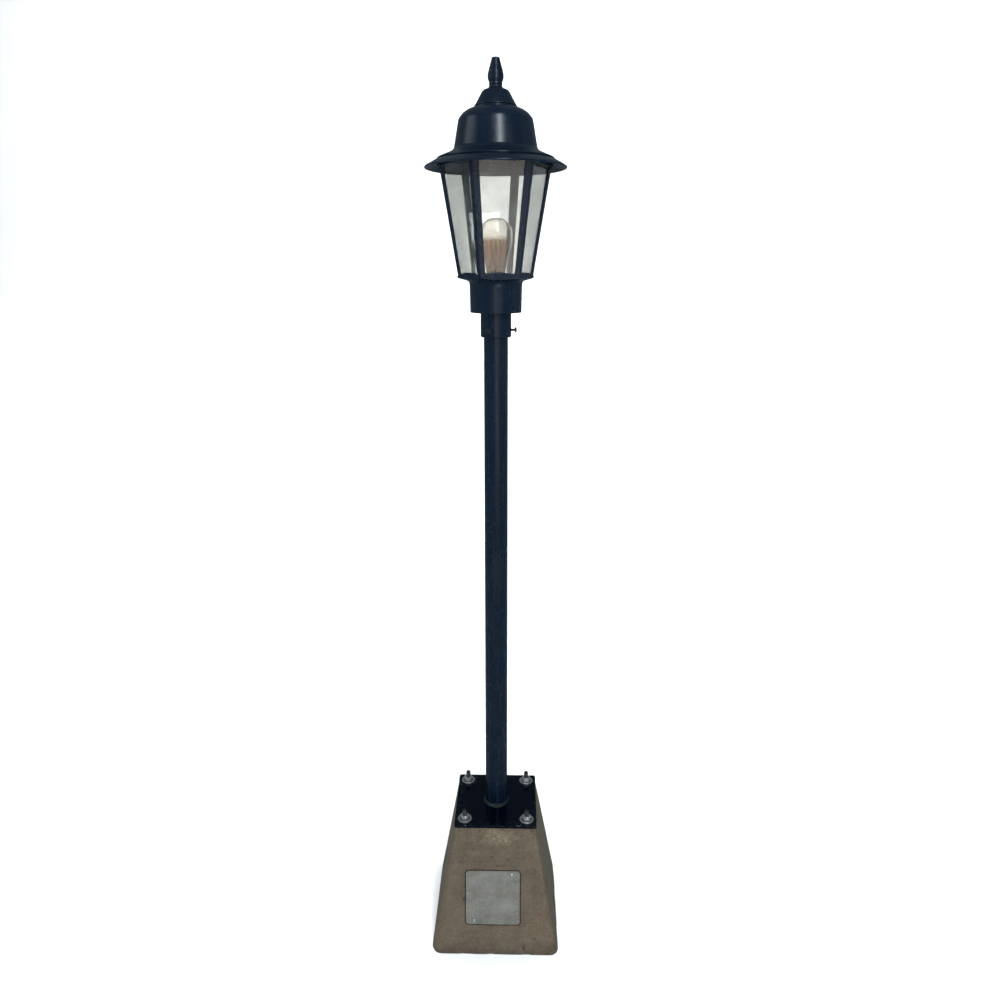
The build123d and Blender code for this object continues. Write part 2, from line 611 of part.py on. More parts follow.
# small conical cap with a rounded shoulder
with BuildPart() as roof_cap:
    with BuildSketch(head_side()):
        with BuildLine():
            c1 = Polyline((36.2, 1762.4), (39.9, 1762.4), (39.9, 1763.8), (38.9, 1764.4), (27.3, 1785.4))
            c2 = Spline((27.3, 1785.4), (25.0, 1788.7), (20.4, 1791.5), (15.8, 1793.3), (13.2, 1795.9),
                        tangents=((-0.48, 0.87), (-0.2, 1)))
            c3 = Polyline((13.2, 1795.9), (3.4, 1795.9), (3.4, 1793.4), (11.0, 1793.4), (14.2, 1791.2),
                          (18.9, 1789.4), (24.4, 1785.2), (36.2, 1763.6), (36.2, 1762.4))
        make_face()
    revolve(axis=Axis.Z)

with BuildPart() as finial_seal:
    with BuildSketch(head_plane(1795.9)):
        Circle(12.6)
        Circle(3.4, mode=Mode.SUBTRACT)
    extrude(amount=FINIAL_Z - 1795.9)

with BuildPart() as finial:
    with BuildSketch(head_side()):
        with BuildLine():
            f0 = Polyline((3.05, 1820.0), (3.05, FINIAL_Z), (12.6, FINIAL_Z), (12.6, 1798.4), (12.0, 1799.2))
            f1 = Spline((12.0, 1799.2), (12.7, 1801.4), (12.2, 1804.4), tangents=((0.4, 1), (-0.6, 1)))
            f2 = Polyline((12.2, 1804.4), (12.9, 1805.2))
            f3 = Spline((12.9, 1805.2), (14.6, 1809.6), (15.15, 1814.4), (14.2, 1821.6), (12.2, 1829.8),
                        tangents=((0.7, 1), (-0.26, 1)))
            f4 = Polyline((12.2, 1829.8), (11.4, 1830.4), (11.5, 1831.6))
            f5 = Spline((11.5, 1831.6), (10.2, 1836.2), (8.7, 1841.4), tangents=((-0.25, 1), (-0.25, 1)))
            f6 = Polyline((8.7, 1841.4), (8.3, 1842.2), (8.1, 1844.6))
            f7 = Spline((8.1, 1844.6), (6.6, 1847.0), (0, 1847.9), tangents=((-0.1, 1), (-1, 0)))
            f8 = Polyline((0, 1847.9), (0, 1821.6), (3.05, 1820.0))
        make_face()
    revolve(axis=Axis.Z)

# ================================================================== write every piece
for name, built in (
    ("concrete_block", concrete_block), ("base_plate", base_plate), ("anchor_studs", anchor_studs),
    ("anchor_washers", anchor_washers), ("anchor_nuts", anchor_nuts), ("post_tube", post_tube),
    ("junction_box", junction_box), ("terminal_block", terminal_block), ("terminal_screws", terminal_screws),
    ("lamp_lead", lamp_lead), ("cover_plate", cover_plate), ("post_socket", post_socket),
    ("lantern_base", lantern_base), ("upper_ring", upper_ring), ("holder_plate", holder_plate),
    ("holder_screws", holder_screws), ("lampholder_body", lampholder_body),
    ("lampholder_shell", lampholder_shell), ("lampholder_contact", lampholder_contact),
    ("bulb_cap", bulb_cap), ("bulb_insulator", bulb_insulator), ("bulb_contact", bulb_contact),
    ("bulb_glass", bulb_glass), ("bulb_stem", bulb_stem), ("bulb_filaments", bulb_filaments),
    ("bulb_wires", bulb_wires), ("roof_bridge", roof_bridge), ("roof_stud", roof_stud),
    ("stud_nuts", stud_nuts), ("roof_hood", roof_hood), ("roof_cap", roof_cap),
    ("finial_seal", finial_seal), ("finial", finial),
):
    save(built.part, name)
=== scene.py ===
import json
import math

import bmesh
import bpy
import numpy as np
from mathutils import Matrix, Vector

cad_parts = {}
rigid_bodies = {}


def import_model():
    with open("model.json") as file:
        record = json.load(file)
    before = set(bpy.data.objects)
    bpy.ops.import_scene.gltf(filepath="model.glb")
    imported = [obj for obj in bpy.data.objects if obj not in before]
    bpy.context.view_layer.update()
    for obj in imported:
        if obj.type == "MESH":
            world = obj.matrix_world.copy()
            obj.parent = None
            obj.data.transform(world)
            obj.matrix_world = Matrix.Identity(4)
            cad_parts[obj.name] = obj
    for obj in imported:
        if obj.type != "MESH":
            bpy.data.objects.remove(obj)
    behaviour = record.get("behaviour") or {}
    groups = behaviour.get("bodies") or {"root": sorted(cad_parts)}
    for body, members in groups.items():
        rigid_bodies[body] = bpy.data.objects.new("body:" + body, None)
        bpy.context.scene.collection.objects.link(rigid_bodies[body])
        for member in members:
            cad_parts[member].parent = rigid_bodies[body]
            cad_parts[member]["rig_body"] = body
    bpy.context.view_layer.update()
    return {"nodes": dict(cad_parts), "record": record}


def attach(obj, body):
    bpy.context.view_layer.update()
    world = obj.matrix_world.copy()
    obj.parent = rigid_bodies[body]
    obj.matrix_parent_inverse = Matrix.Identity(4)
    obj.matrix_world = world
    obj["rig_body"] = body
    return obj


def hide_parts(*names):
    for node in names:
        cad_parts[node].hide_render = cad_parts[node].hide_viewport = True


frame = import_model()
NODES = frame["nodes"]

HEAD_YAW = math.radians(8.6)
ALPHA = math.atan2(0.050, 0.280)        # slope of the block's faces
SA, CA = math.sin(ALPHA), math.cos(ALPHA)
FACE_X = Vector((1, 0, 0))
FACE_Y = Vector((0, SA, CA))
FACE_N = Vector((0, -CA, SA))
MM = 0.001


def face_point(u, v, w):
    """Point on the block's front face, in metres: u across, v up the slope, w out along its normal."""
    return Vector((u, -0.140 + v * SA - w * CA, v * CA + w * SA))


# ------------------------------------------------------------------ numbers that look random, the same at every run
def hash3(ix, iy, iz, seed):
    h = (ix * 374761393 + iy * 668265263 + iz * 2147483647 + seed * 1274126177) & 0xFFFFFFFF
    h = ((h ^ (h >> 13)) * 1274126177) & 0xFFFFFFFF
    h = ((h ^ (h >> 16)) * 2246822519) & 0xFFFFFFFF
    return ((h ^ (h >> 15)) & 0xFFFFFF).astype(float) / float(0xFFFFFF) * 2 - 1


def vnoise(p, scale, seed=0):
    """Smooth noise from -1 to 1 at the points p, an N x 3 array in metres."""
    q = np.asarray(p, float) * scale + 1000.0
    i = np.floor(q).astype(np.int64)
    f = q - i
    f = f * f * (3 - 2 * f)
    out = np.zeros(len(q))
    for dx in (0, 1):
        for dy in (0, 1):
            for dz in (0, 1):
                w = (f[:, 0] if dx else 1 - f[:, 0]) * (f[:, 1] if dy else 1 - f[:, 1]) * (f[:, 2] if dz else 1 - f[:, 2])
                out += w * hash3(i[:, 0] + dx, i[:, 1] + dy, i[:, 2] + dz, seed)
    return out


def fbm(p, scale, seed=0, octaves=4):
    total, amp, norm = np.zeros(len(p)), 1.0, 0.0
    for k in range(octaves):
        total += amp * vnoise(p, scale * 2 ** k, seed + 17 * k)
        norm += amp
        amp *= 0.5
    return total / norm


# ------------------------------------------------------------------ meshes
def new_object(name, verts, faces, mat, body, smooth_angle=35.0, replaces=()):
    me = bpy.data.meshes.new(name)
    me.from_pydata([tuple(v) for v in verts], [], faces)
    return finish_mesh(name, me, mat, body, smooth_angle, replaces)


def flat_faces_stay_flat(me):
    """Shading normals led by the large faces, so that a broken edge doesn't bend the light on the face beside it."""
    ob = bpy.data.objects.new("normals", me)
    bpy.context.scene.collection.objects.link(ob)
    m = ob.modifiers.new("weights", "WEIGHTED_NORMAL")
    m.keep_sharp = True
    m.weight = 100
    m.mode = "FACE_AREA"
    dg = bpy.context.evaluated_depsgraph_get()
    out = bpy.data.meshes.new_from_object(ob.evaluated_get(dg), depsgraph=dg)
    bpy.data.objects.remove(ob)
    return out


def finish_mesh(name, me, mat, body, smooth_angle=35.0, replaces=(), recalc=True, weighted=False):
    bm = bmesh.new()
    bm.from_mesh(me)
    if recalc:
        bmesh.ops.recalc_face_normals(bm, faces=bm.faces)
    for f in bm.faces:
        f.smooth = True
    bm.to_mesh(me)
    bm.free()
    me.set_sharp_from_angle(angle=math.radians(smooth_angle))
    if weighted:
        me = flat_faces_stay_flat(me)
    me.materials.clear()
    me.materials.append(mat)
    ob = bpy.data.objects.new(name, me)
    bpy.context.scene.collection.objects.link(ob)
    if body:
        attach(ob, body)
    if replaces:
        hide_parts(*replaces)
    return ob


def grid_faces(rows, cols, closed_cols=True, start=0):
    """Quads between rows of points, each row a closed ring."""
    faces = []
    last = cols if closed_cols else cols - 1
    for r in range(rows - 1):
        a, b = start + r * cols, start + (r + 1) * cols
        for c in range(last):
            d = (c + 1) % cols
            faces.append((a + c, a + d, b + d, b + c))
    return faces


def polish(node, mat, bevel=0.0003, segments=2, angle=35.0, smooth=30.0, name=None):
    """A copy of a CAD node's mesh with its sharp edges broken, shown in the node's place."""
    src = NODES[node]
    bm = bmesh.new()
    bm.from_mesh(src.data)
    bmesh.ops.remove_doubles(bm, verts=bm.verts, dist=2e-6)
    bmesh.ops.dissolve_degenerate(bm, dist=1e-6, edges=bm.edges)
    flat = [e for e in bm.edges if len(e.link_faces) == 2 and e.calc_face_angle(0) < math.radians(0.02)]
    bmesh.ops.dissolve_limit(bm, angle_limit=math.radians(0.05), verts=bm.verts, edges=flat, delimit={"NORMAL"})
    if bevel:
        sharp = [e for e in bm.edges if len(e.link_faces) == 2 and e.calc_face_angle(0) > math.radians(angle)]
        bmesh.ops.bevel(bm, geom=sharp, offset=bevel, offset_type="OFFSET", segments=segments, profile=0.5,
                        affect="EDGES", clamp_overlap=True, miter_outer="ARC", harden_normals=False)
    bmesh.ops.triangulate(bm, faces=[f for f in bm.faces if len(f.verts) > 4])
    me = bpy.data.meshes.new(name or node + "_part")
    bm.to_mesh(me)
    bm.free()
    return finish_mesh(name or node + "_part", me, mat, src["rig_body"], smooth, (node,), weighted=True)


def lathe_faces(profile, segs):
    """Closed surface of revolution about Z. profile is a closed loop of (r, z)."""
    verts, ring = [], []
    for r, z in profile:
        if r < 1e-7:
            ring.append([len(verts)])
            verts.append((0, 0, z))
        else:
            ring.append(list(range(len(verts), len(verts) + segs)))
            for s in range(segs):
                a = 2 * math.pi * s / segs
                verts.append((r * math.cos(a), r * math.sin(a), z))
    faces = []
    n = len(profile)
    for i in range(n):
        a, b = ring[i], ring[(i + 1) % n]
        if len(a) == 1 and len(b) == 1:
            continue
        for s in range(segs):
            t = (s + 1) % segs
            if len(a) == 1:
                faces.append((a[0], b[t], b[s]))
            elif len(b) == 1:
                faces.append((a[s], a[t], b[0]))
            else:
                faces.append((a[s], a[t], b[t], b[s]))
    return verts, faces


def apply_modifiers(ob):
    dg = bpy.context.evaluated_depsgraph_get()
    me = bpy.data.meshes.new_from_object(ob.evaluated_get(dg), depsgraph=dg)
    ob.modifiers.clear()
    ob.data = me
    return ob


def cut(ob, cutter, solver="EXACT"):
    m = ob.modifiers.new("cut", "BOOLEAN")
    m.operation = "DIFFERENCE"
    m.object = cutter
    m.solver = solver
    apply_modifiers(ob)
    bpy.data.objects.remove(cutter)


def loose(name, verts, faces):
    me = bpy.data.meshes.new(name)
    me.from_pydata([tuple(v) for v in verts], [], faces)
    bm = bmesh.new()
    bm.from_mesh(me)
    bmesh.ops.recalc_face_normals(bm, faces=bm.faces)
    bm.to_mesh(me)
    bm.free()
    ob = bpy.data.objects.new(name, me)
    bpy.context.scene.collection.objects.link(ob)
    return ob


def thread_radius(theta, z, major, depth, pitch, flat=0.14):
    """Sixty-degree thread as a radius over the angle and height, right-handed."""
    phase = np.mod(z / pitch - theta / (2 * math.pi), 1.0)
    d = np.abs(phase - 0.5) * 2                    # 1 on the crest, 0 in the root
    return major - depth * (1 - np.clip((d - flat) / (1 - 2 * flat), 0, 1))


# ------------------------------------------------------------------ materials
class Mat:
    """A Principled material with short names for the nodes that drive it. Coordinates are metres in the part's own frame."""

    def __init__(self, name, **values):
        self.m = bpy.data.materials.new(name)
        self.m.use_nodes = True
        self.nt = self.m.node_tree
        self.nt.nodes.clear()
        self.out = self.nt.nodes.new("ShaderNodeOutputMaterial")
        self.p = self.nt.nodes.new("ShaderNodeBsdfPrincipled")
        self.nt.links.new(self.p.outputs[0], self.out.inputs["Surface"])
        self.P = self.nt.nodes.new("ShaderNodeTexCoord").outputs["Object"]
        geo = self.nt.nodes.new("ShaderNodeNewGeometry")
        self.N = geo.outputs["Normal"]
        for k, v in values.items():
            self.p.inputs[k.replace("_", " ")].default_value = v

    def put(self, sock, value):
        if hasattr(value, "is_output"):
            self.nt.links.new(value, sock)
        else:
            sock.default_value = value

    def scaled(self, vec, s, offset=(0, 0, 0)):
        n = self.nt.nodes.new("ShaderNodeMapping")
        self.put(n.inputs["Vector"], vec)
        n.inputs["Scale"].default_value = s
        n.inputs["Location"].default_value = offset
        return n.outputs[0]

    def noise(self, scale, detail=3.0, rough=0.5, vec=None, distort=0.0, offset=None, colour=False):
        n = self.nt.nodes.new("ShaderNodeTexNoise")
        v = vec if vec is not None else self.P
        if offset is not None:
            v = self.scaled(v, (1, 1, 1), offset)
        self.put(n.inputs["Vector"], v)
        n.inputs["Scale"].default_value = scale
        n.inputs["Detail"].default_value = detail
        n.inputs["Roughness"].default_value = rough
        n.inputs["Distortion"].default_value = distort
        return n.outputs["Color" if colour else "Fac"]

    def cells(self, scale, feature="F1", vec=None, out="Distance", rand=1.0):
        n = self.nt.nodes.new("ShaderNodeTexVoronoi")
        n.feature = feature
        self.put(n.inputs["Vector"], vec if vec is not None else self.P)
        n.inputs["Scale"].default_value = scale
        n.inputs["Randomness"].default_value = rand
        return n.outputs[out]

    def span(self, v, a, b, c=0.0, d=1.0, smooth=False):
        n = self.nt.nodes.new("ShaderNodeMapRange")
        n.clamp = True
        if smooth:
            n.interpolation_type = "SMOOTHSTEP"
        self.put(n.inputs["Value"], v)
        for k, x in zip(("From Min", "From Max", "To Min", "To Max"), (a, b, c, d)):
            n.inputs[k].default_value = x
        return n.outputs["Result"]

    def math(self, op, a, b=0.0, clamp=False):
        n = self.nt.nodes.new("ShaderNodeMath")
        n.operation = op
        n.use_clamp = clamp
        self.put(n.inputs[0], a)
        self.put(n.inputs[1], b)
        return n.outputs[0]

    def mix(self, fac, a, b, mode="MIX"):
        n = self.nt.nodes.new("ShaderNodeMix")
        n.data_type = "RGBA"
        n.blend_type = mode
        n.clamp_factor = True
        self.put(n.inputs["Factor"], fac)
        self.put(n.inputs[6], a if hasattr(a, "is_output") else (*a, 1.0)[:4])
        self.put(n.inputs[7], b if hasattr(b, "is_output") else (*b, 1.0)[:4])
        return n.outputs[2]

    def axis(self, vec, which):
        n = self.nt.nodes.new("ShaderNodeSeparateXYZ")
        self.put(n.inputs[0], vec)
        return n.outputs["XYZ".index(which)]

    def vec(self, op, a, b=None):
        n = self.nt.nodes.new("ShaderNodeVectorMath")
        n.operation = op
        self.put(n.inputs[0], a)
        if b is not None:
            self.put(n.inputs[1], b)
        return n.outputs["Value"] if op in ("DOT_PRODUCT", "LENGTH", "DISTANCE") else n.outputs["Vector"]

    def segment(self, a, b):
        """Distance in metres from the segment a to b."""
        a, b = Vector(a), Vector(b)
        ab = b - a
        pa = self.vec("SUBTRACT", self.P, tuple(a))
        t = self.math("DIVIDE", self.vec("DOT_PRODUCT", pa, tuple(ab)), ab.length_squared, clamp=True)
        n = self.nt.nodes.new("ShaderNodeVectorMath")
        n.operation = "SCALE"
        n.inputs[0].default_value = tuple(ab)
        self.put(n.inputs["Scale"], t)
        return self.vec("LENGTH", self.vec("SUBTRACT", pa, n.outputs["Vector"]))

    def bump(self, height, strength, distance, normal=None):
        n = self.nt.nodes.new("ShaderNodeBump")
        n.inputs["Strength"].default_value = strength
        n.inputs["Distance"].default_value = distance
        self.put(n.inputs["Height"], height)
        if normal is not None:
            self.put(n.inputs["Normal"], normal)
        return n.outputs["Normal"]

    def colour(self, v):
        self.put(self.p.inputs["Base Color"], v if hasattr(v, "is_output") else (*v, 1.0))

    def rough(self, v):
        self.put(self.p.inputs["Roughness"], v)

    def normal(self, v):
        self.put(self.p.inputs["Normal"], v)

    def let_lamps_through(self, tint=(0.93, 0.95, 0.94)):
        """Rays from lamps pass straight through, so that what stands behind the glass is lit."""
        nt = self.nt
        path = nt.nodes.new("ShaderNodeLightPath")
        clear = nt.nodes.new("ShaderNodeBsdfTransparent")
        clear.inputs[0].default_value = (*tint, 1.0)
        mix = nt.nodes.new("ShaderNodeMixShader")
        nt.links.new(path.outputs["Is Shadow Ray"], mix.inputs[0])
        nt.links.new(self.p.outputs[0], mix.inputs[1])
        nt.links.new(clear.outputs[0], mix.inputs[2])
        nt.links.new(mix.outputs[0], self.out.inputs["Surface"])


def srgb(r, g, b):
    def one(c):
        c /= 255.0
        return c / 12.92 if c <= 0.04045 else ((c + 0.055) / 1.055) ** 2.4
    return (one(r), one(g), one(b))


def make_paint():
    """Satin navy-black powder coat, out of doors for a while: orange peel, faint runs of dried rain, dust on what faces up."""
    m = Mat("paint", IOR=1.38)
    drift = m.noise(7.0, 4, 0.55)
    base = m.mix(m.span(drift, 0.35, 0.65), (0.0026, 0.0092, 0.0215), (0.0040, 0.0116, 0.0258))
    runs = m.noise(1.0, 4, 0.6, vec=m.scaled(m.P, (95, 95, 5)))
    runs = m.span(runs, 0.52, 0.75)
    base = m.mix(m.math("MULTIPLY", runs, 0.10), base, (0.055, 0.062, 0.068))
    up = m.span(m.axis(m.N, "Z"), 0.25, 0.95)
    dust = m.math("MULTIPLY", up, m.span(m.noise(38.0, 6, 0.62), 0.38, 0.72))
    base = m.mix(m.math("MULTIPLY", dust, 0.10), base, (0.10, 0.10, 0.094))
    specks = m.span(m.cells(330.0), 0.05, 0.12, 1.0, 0.0)
    gate = m.span(m.noise(26.0, 2, offset=(3, 1, 2)), 0.55, 0.68)
    base = m.mix(m.math("MULTIPLY", m.math("MULTIPLY", specks, gate), 0.22), base, (0.16, 0.15, 0.13))
    weld = m.math("MULTIPLY", m.span(m.axis(m.P, "Z"), 0.2915, 0.2935, 1.0, 0.0), m.span(m.axis(m.P, "Z"), 0.2700, 0.2800))
    base = m.mix(m.math("MULTIPLY", weld, 0.6), base, (0.0022, 0.0042, 0.0085))
    m.colour(base)
    r = m.math("ADD", m.span(m.noise(16.0, 5, 0.6, offset=(7, 7, 7)), 0.3, 0.7, 0.21, 0.31), m.math("MULTIPLY", dust, 0.12))
    r = m.math("ADD", r, m.math("MULTIPLY", weld, 0.22))
    m.rough(m.math("ADD", r, m.math("MULTIPLY", runs, 0.07)))
    # fine rings left by the spinning of the roof, and dirt on the weld
    ring = m.noise(1.0, 4, 0.6, vec=m.scaled(m.P, (2.0, 2.0, 420.0)))
    roof = m.span(m.axis(m.P, "Z"), 1.6400, 1.6560)
    peel = m.noise(520.0, 2, 0.5)
    n = m.bump(m.math("MULTIPLY", ring, roof), 0.42, 0.0006)
    n = m.bump(peel, 0.10, 0.0004, n)
    n = m.bump(m.noise(60.0, 2, 0.5, offset=(1, 5, 2)), 0.10, 0.0012, n)
    m.normal(n)
    return m.m


def make_plate_paint():
    """Glossy black enamel on the base plate, scuffed round the washers and chipped on the front edge."""
    m = Mat("plate_paint", IOR=1.19)
    drift = m.noise(11.0, 4, 0.55)
    base = m.mix(m.span(drift, 0.35, 0.65), (0.0005, 0.0018, 0.0070), (0.0012, 0.0030, 0.0098))
    # grit and dust that collect along the rim and round the bolts
    px, py = m.axis(m.P, "X"), m.axis(m.P, "Y")
    rim = m.math("MAXIMUM", m.math("ABSOLUTE", px), m.math("ABSOLUTE", py))
    rim = m.span(rim, 0.070, 0.0895)
    grit = m.span(m.noise(85.0, 6, 0.65), 0.46, 0.72)
    film = m.math("MULTIPLY", m.math("ADD", rim, 0.10), grit)
    base = m.mix(m.math("MULTIPLY", film, 0.20), base, (0.075, 0.070, 0.060))
    # rub marks around each washer
    ax = m.math("SUBTRACT", m.math("ABSOLUTE", px), 0.068)
    ay = m.math("SUBTRACT", m.math("ABSOLUTE", py), 0.068)
    rr = m.math("SQRT", m.math("ADD", m.math("MULTIPLY", ax, ax), m.math("MULTIPLY", ay, ay)))
    ring = m.math("MULTIPLY", m.span(rr, 0.0152, 0.0185, 1.0, 0.0), m.span(m.noise(240.0, 4, 0.6), 0.50, 0.62))
    base = m.mix(m.math("MULTIPLY", ring, 0.55), base, (0.16, 0.165, 0.165))
    # tick-shaped chip down to the metal on the front edge, and a few nicks along the edges
    chip = m.math("MINIMUM", m.segment((0.0462, -0.0868, 0.286), (0.0500, -0.0897, 0.2858)),
                  m.segment((0.0500, -0.0897, 0.2858), (0.0565, -0.0862, 0.286)))
    chip = m.math("ADD", chip, m.math("MULTIPLY", m.math("SUBTRACT", m.noise(700.0, 3), 0.5), 0.0011))
    chip = m.span(chip, 0.00035, 0.00065, 1.0, 0.0)
    edge = m.span(m.math("MAXIMUM", m.math("ABSOLUTE", px), m.math("ABSOLUTE", py)), 0.0890, 0.0897)
    top = m.span(m.axis(m.P, "Z"), 0.2846, 0.2856)
    nick = m.math("MULTIPLY", m.math("MULTIPLY", edge, top), m.span(m.noise(190.0, 3, 0.6, offset=(4, 2, 9)), 0.635, 0.665))
    bare = m.math("MAXIMUM", chip, nick)
    base = m.mix(bare, base, (0.36, 0.35, 0.33))
    m.colour(base)
    m.put(m.p.inputs["Metallic"], m.math("MULTIPLY", bare, 0.85))
    r = m.math("ADD", m.span(m.noise(22.0, 5, 0.6), 0.3, 0.7, 0.10, 0.20), m.math("MULTIPLY", film, 0.35))
    r = m.math("ADD", r, m.math("MULTIPLY", ring, 0.3))
    m.rough(m.math("ADD", r, m.math("MULTIPLY", bare, 0.28)))
    n = m.bump(m.noise(300.0, 2), 0.06, 0.0004)
    n = m.bump(bare, 0.6, -0.00025, n)
    m.normal(n)
    return m.m


def make_concrete():
    """Cast concrete: cement paste with sand, pin holes, darker damp patches, warm stains, form marks, dirt at the foot;
    painted shade on the right and back faces and in the gap round the cover.
    """
    m = Mat("concrete", IOR=1.45)
    m.p.inputs["Specular IOR Level"].default_value = 0.28
    big = m.noise(5.5, 5, 0.55)
    c = m.mix(m.span(big, 0.36, 0.64), srgb(117, 102, 86), srgb(135, 118, 101))
    mid = m.noise(26.0, 6, 0.62, offset=(2, 3, 5))
    c = m.mix(m.span(mid, 0.42, 0.74, 0, 0.65), c, srgb(152, 134, 115))
    c = m.mix(m.span(mid, 0.50, 0.26, 0, 0.62), c, srgb(101, 88, 73))
    # pink and yellow stains
    pink = m.span(m.noise(13.0, 4, 0.6, offset=(9, 1, 4)), 0.54, 0.70, 0, 0.42)
    c = m.mix(pink, c, srgb(148, 114, 96))
    yel = m.span(m.noise(17.0, 4, 0.6, offset=(1, 8, 2)), 0.56, 0.72, 0, 0.36)
    c = m.mix(yel, c, srgb(136, 118, 80))
    # painted shade: the faces turned right and back are drawn darker and greener
    side = m.span(m.math("MAXIMUM", m.axis(m.N, "X"), m.axis(m.N, "Y")), 0.35, 0.90, 0, 0.55)
    c = m.mix(side, c, srgb(92, 91, 68))
    # light smears of laitance under the plate
    smear = m.noise(1.0, 5, 0.62, vec=m.scaled(m.P, (70, 70, 110), (0.4, 0.2, 0.1)))
    high = m.span(m.axis(m.P, "Z"), 0.16, 0.265)
    smear = m.math("MULTIPLY", m.span(smear, 0.56, 0.72), high)
    c = m.mix(m.math("MULTIPLY", smear, 0.55), c, srgb(176, 162, 142))
    # a dry, chalky patch under the middle of the plate, with pale crumbs in it
    q = m.vec("MULTIPLY", m.vec("SUBTRACT", m.P, (0.006, -0.0935, 0.2600)), (1.0, 1.0, 2.1))
    patch = m.math("ADD", m.vec("LENGTH", q), m.math("MULTIPLY", m.math("SUBTRACT", m.noise(70.0, 5, 0.65, offset=(3, 3, 3)), 0.5), 0.060))
    patch = m.span(patch, 0.020, 0.044, 1.0, 0.0)
    c = m.mix(m.math("MULTIPLY", patch, 0.68), c, srgb(160, 143, 117))
    crumbs = m.math("MULTIPLY", patch, m.span(m.noise(230.0, 4, 0.6, offset=(7, 3, 1)), 0.51, 0.61))
    c = m.mix(m.math("MULTIPLY", crumbs, 0.75), c, srgb(200, 187, 168))
    # small brown marks above and beside the cover
    rust = m.math("MINIMUM", m.segment((0.002, -0.1045, 0.1965), (0.022, -0.1045, 0.1985)), m.segment((-0.0690, -0.1180, 0.122), (-0.0690, -0.1185, 0.125)))
    rust = m.math("MINIMUM", rust, m.segment((0.0775, -0.0908, 0.2752), (0.0820, -0.0908, 0.2754)))
    rust = m.math("ADD", rust, m.math("MULTIPLY", m.math("SUBTRACT", m.noise(260.0, 4, 0.6), 0.5), 0.0060))
    c = m.mix(m.span(rust, 0.0012, 0.0036, 0.62, 0.0), c, srgb(88, 62, 34))
    # dirt sitting in the larger pits
    deep = None
    for (u0, v0), (u1, v1) in (((-0.0494, 0.2360), (-0.0474, 0.2364)), ((0.0688, 0.1877), (0.0702, 0.1877)),
                               ((0.0915, 0.0259), (0.0926, 0.0259)), ((0.0628, 0.0120), (0.0632, 0.0250)),
                               ((-0.0790, 0.2081), (-0.0780, 0.2081)), ((-0.0690, 0.1230), (-0.0690, 0.1252))):
        d = m.segment(face_point(u0, v0, 0), face_point(u1, v1, 0))
        deep = d if deep is None else m.math("MINIMUM", deep, d)
    deep = m.math("ADD", deep, m.math("MULTIPLY", m.math("SUBTRACT", m.noise(420.0, 3, 0.6, offset=(2, 2, 9)), 0.5), 0.0030))
    c = m.mix(m.span(deep, 0.0010, 0.0028, 0.85, 0.0), c, srgb(44, 36, 28))
    # sand grains
    grain = m.math("ADD", m.math("MULTIPLY", m.noise(620.0, 4, 0.7), 0.55), m.math("MULTIPLY", m.noise(260.0, 3, 0.6, offset=(4, 4, 8)), 0.45))
    c = m.mix(m.span(grain, 0.36, 0.64, 0.0, 1.0), m.mix(0.42, c, (0.050, 0.043, 0.034)), m.mix(0.26, c, (0.40, 0.36, 0.30)))
    sand = m.span(m.cells(540.0), 0.10, 0.20, 1.0, 0.0)
    gate = m.span(m.noise(140.0, 2, offset=(5, 5, 1)), 0.52, 0.60)
    c = m.mix(m.math("MULTIPLY", m.math("MULTIPLY", sand, gate), 0.5), c, srgb(186, 176, 158))
    dark = m.span(m.cells(410.0, vec=m.scaled(m.P, (1, 1, 1), (0.33, 0.21, 0.5))), 0.08, 0.17, 1.0, 0.0)
    gate2 = m.span(m.noise(90.0, 2, offset=(2, 5, 8)), 0.56, 0.64)
    c = m.mix(m.math("MULTIPLY", m.math("MULTIPLY", dark, gate2), 0.55), c, srgb(58, 50, 42))
    # pin holes: small dark pits, thinly spread
    pv = m.vec("ADD", m.P, m.vec("MULTIPLY", m.noise(240.0, 2, colour=True), (0.0016, 0.0016, 0.0016)))
    pit_d = m.cells(52.0, vec=pv)
    pits = m.span(pit_d, 0.052, 0.095, 1.0, 0.0)
    pit_gate = m.span(m.noise(21.0, 2, offset=(6, 2, 1)), 0.46, 0.52)
    pits = m.math("MULTIPLY", pits, pit_gate)
    pits2 = m.math("MULTIPLY", m.span(m.cells(120.0, vec=pv), 0.07, 0.12, 1.0, 0.0), m.span(m.noise(34.0, 2, offset=(1, 2, 1)), 0.52, 0.57))
    holes = m.math("MAXIMUM", pits, pits2)
    c = m.mix(m.math("MULTIPLY", holes, 0.72), c, srgb(52, 45, 37))
    # rain runs from the plate's edge, soil at the foot
    run = m.noise(1.0, 4, 0.6, vec=m.scaled(m.P, (75, 75, 6), (0.1, 0.9, 0.3)))
    run = m.math("MULTIPLY", m.span(run, 0.54, 0.72), m.span(m.axis(m.P, "Z"), 0.05, 0.28))
    c = m.mix(m.math("MULTIPLY", run, 0.30), c, srgb(84, 78, 66))
    soil = m.math("SUBTRACT", m.span(m.axis(m.P, "Z"), 0.0, 0.045, 1.0, 0.0), m.span(m.noise(40.0, 5, 0.65), 0.3, 0.7, 0.0, 0.75))
    c = m.mix(m.span(soil, 0.0, 0.8, 0, 0.50), c, srgb(74, 66, 54))
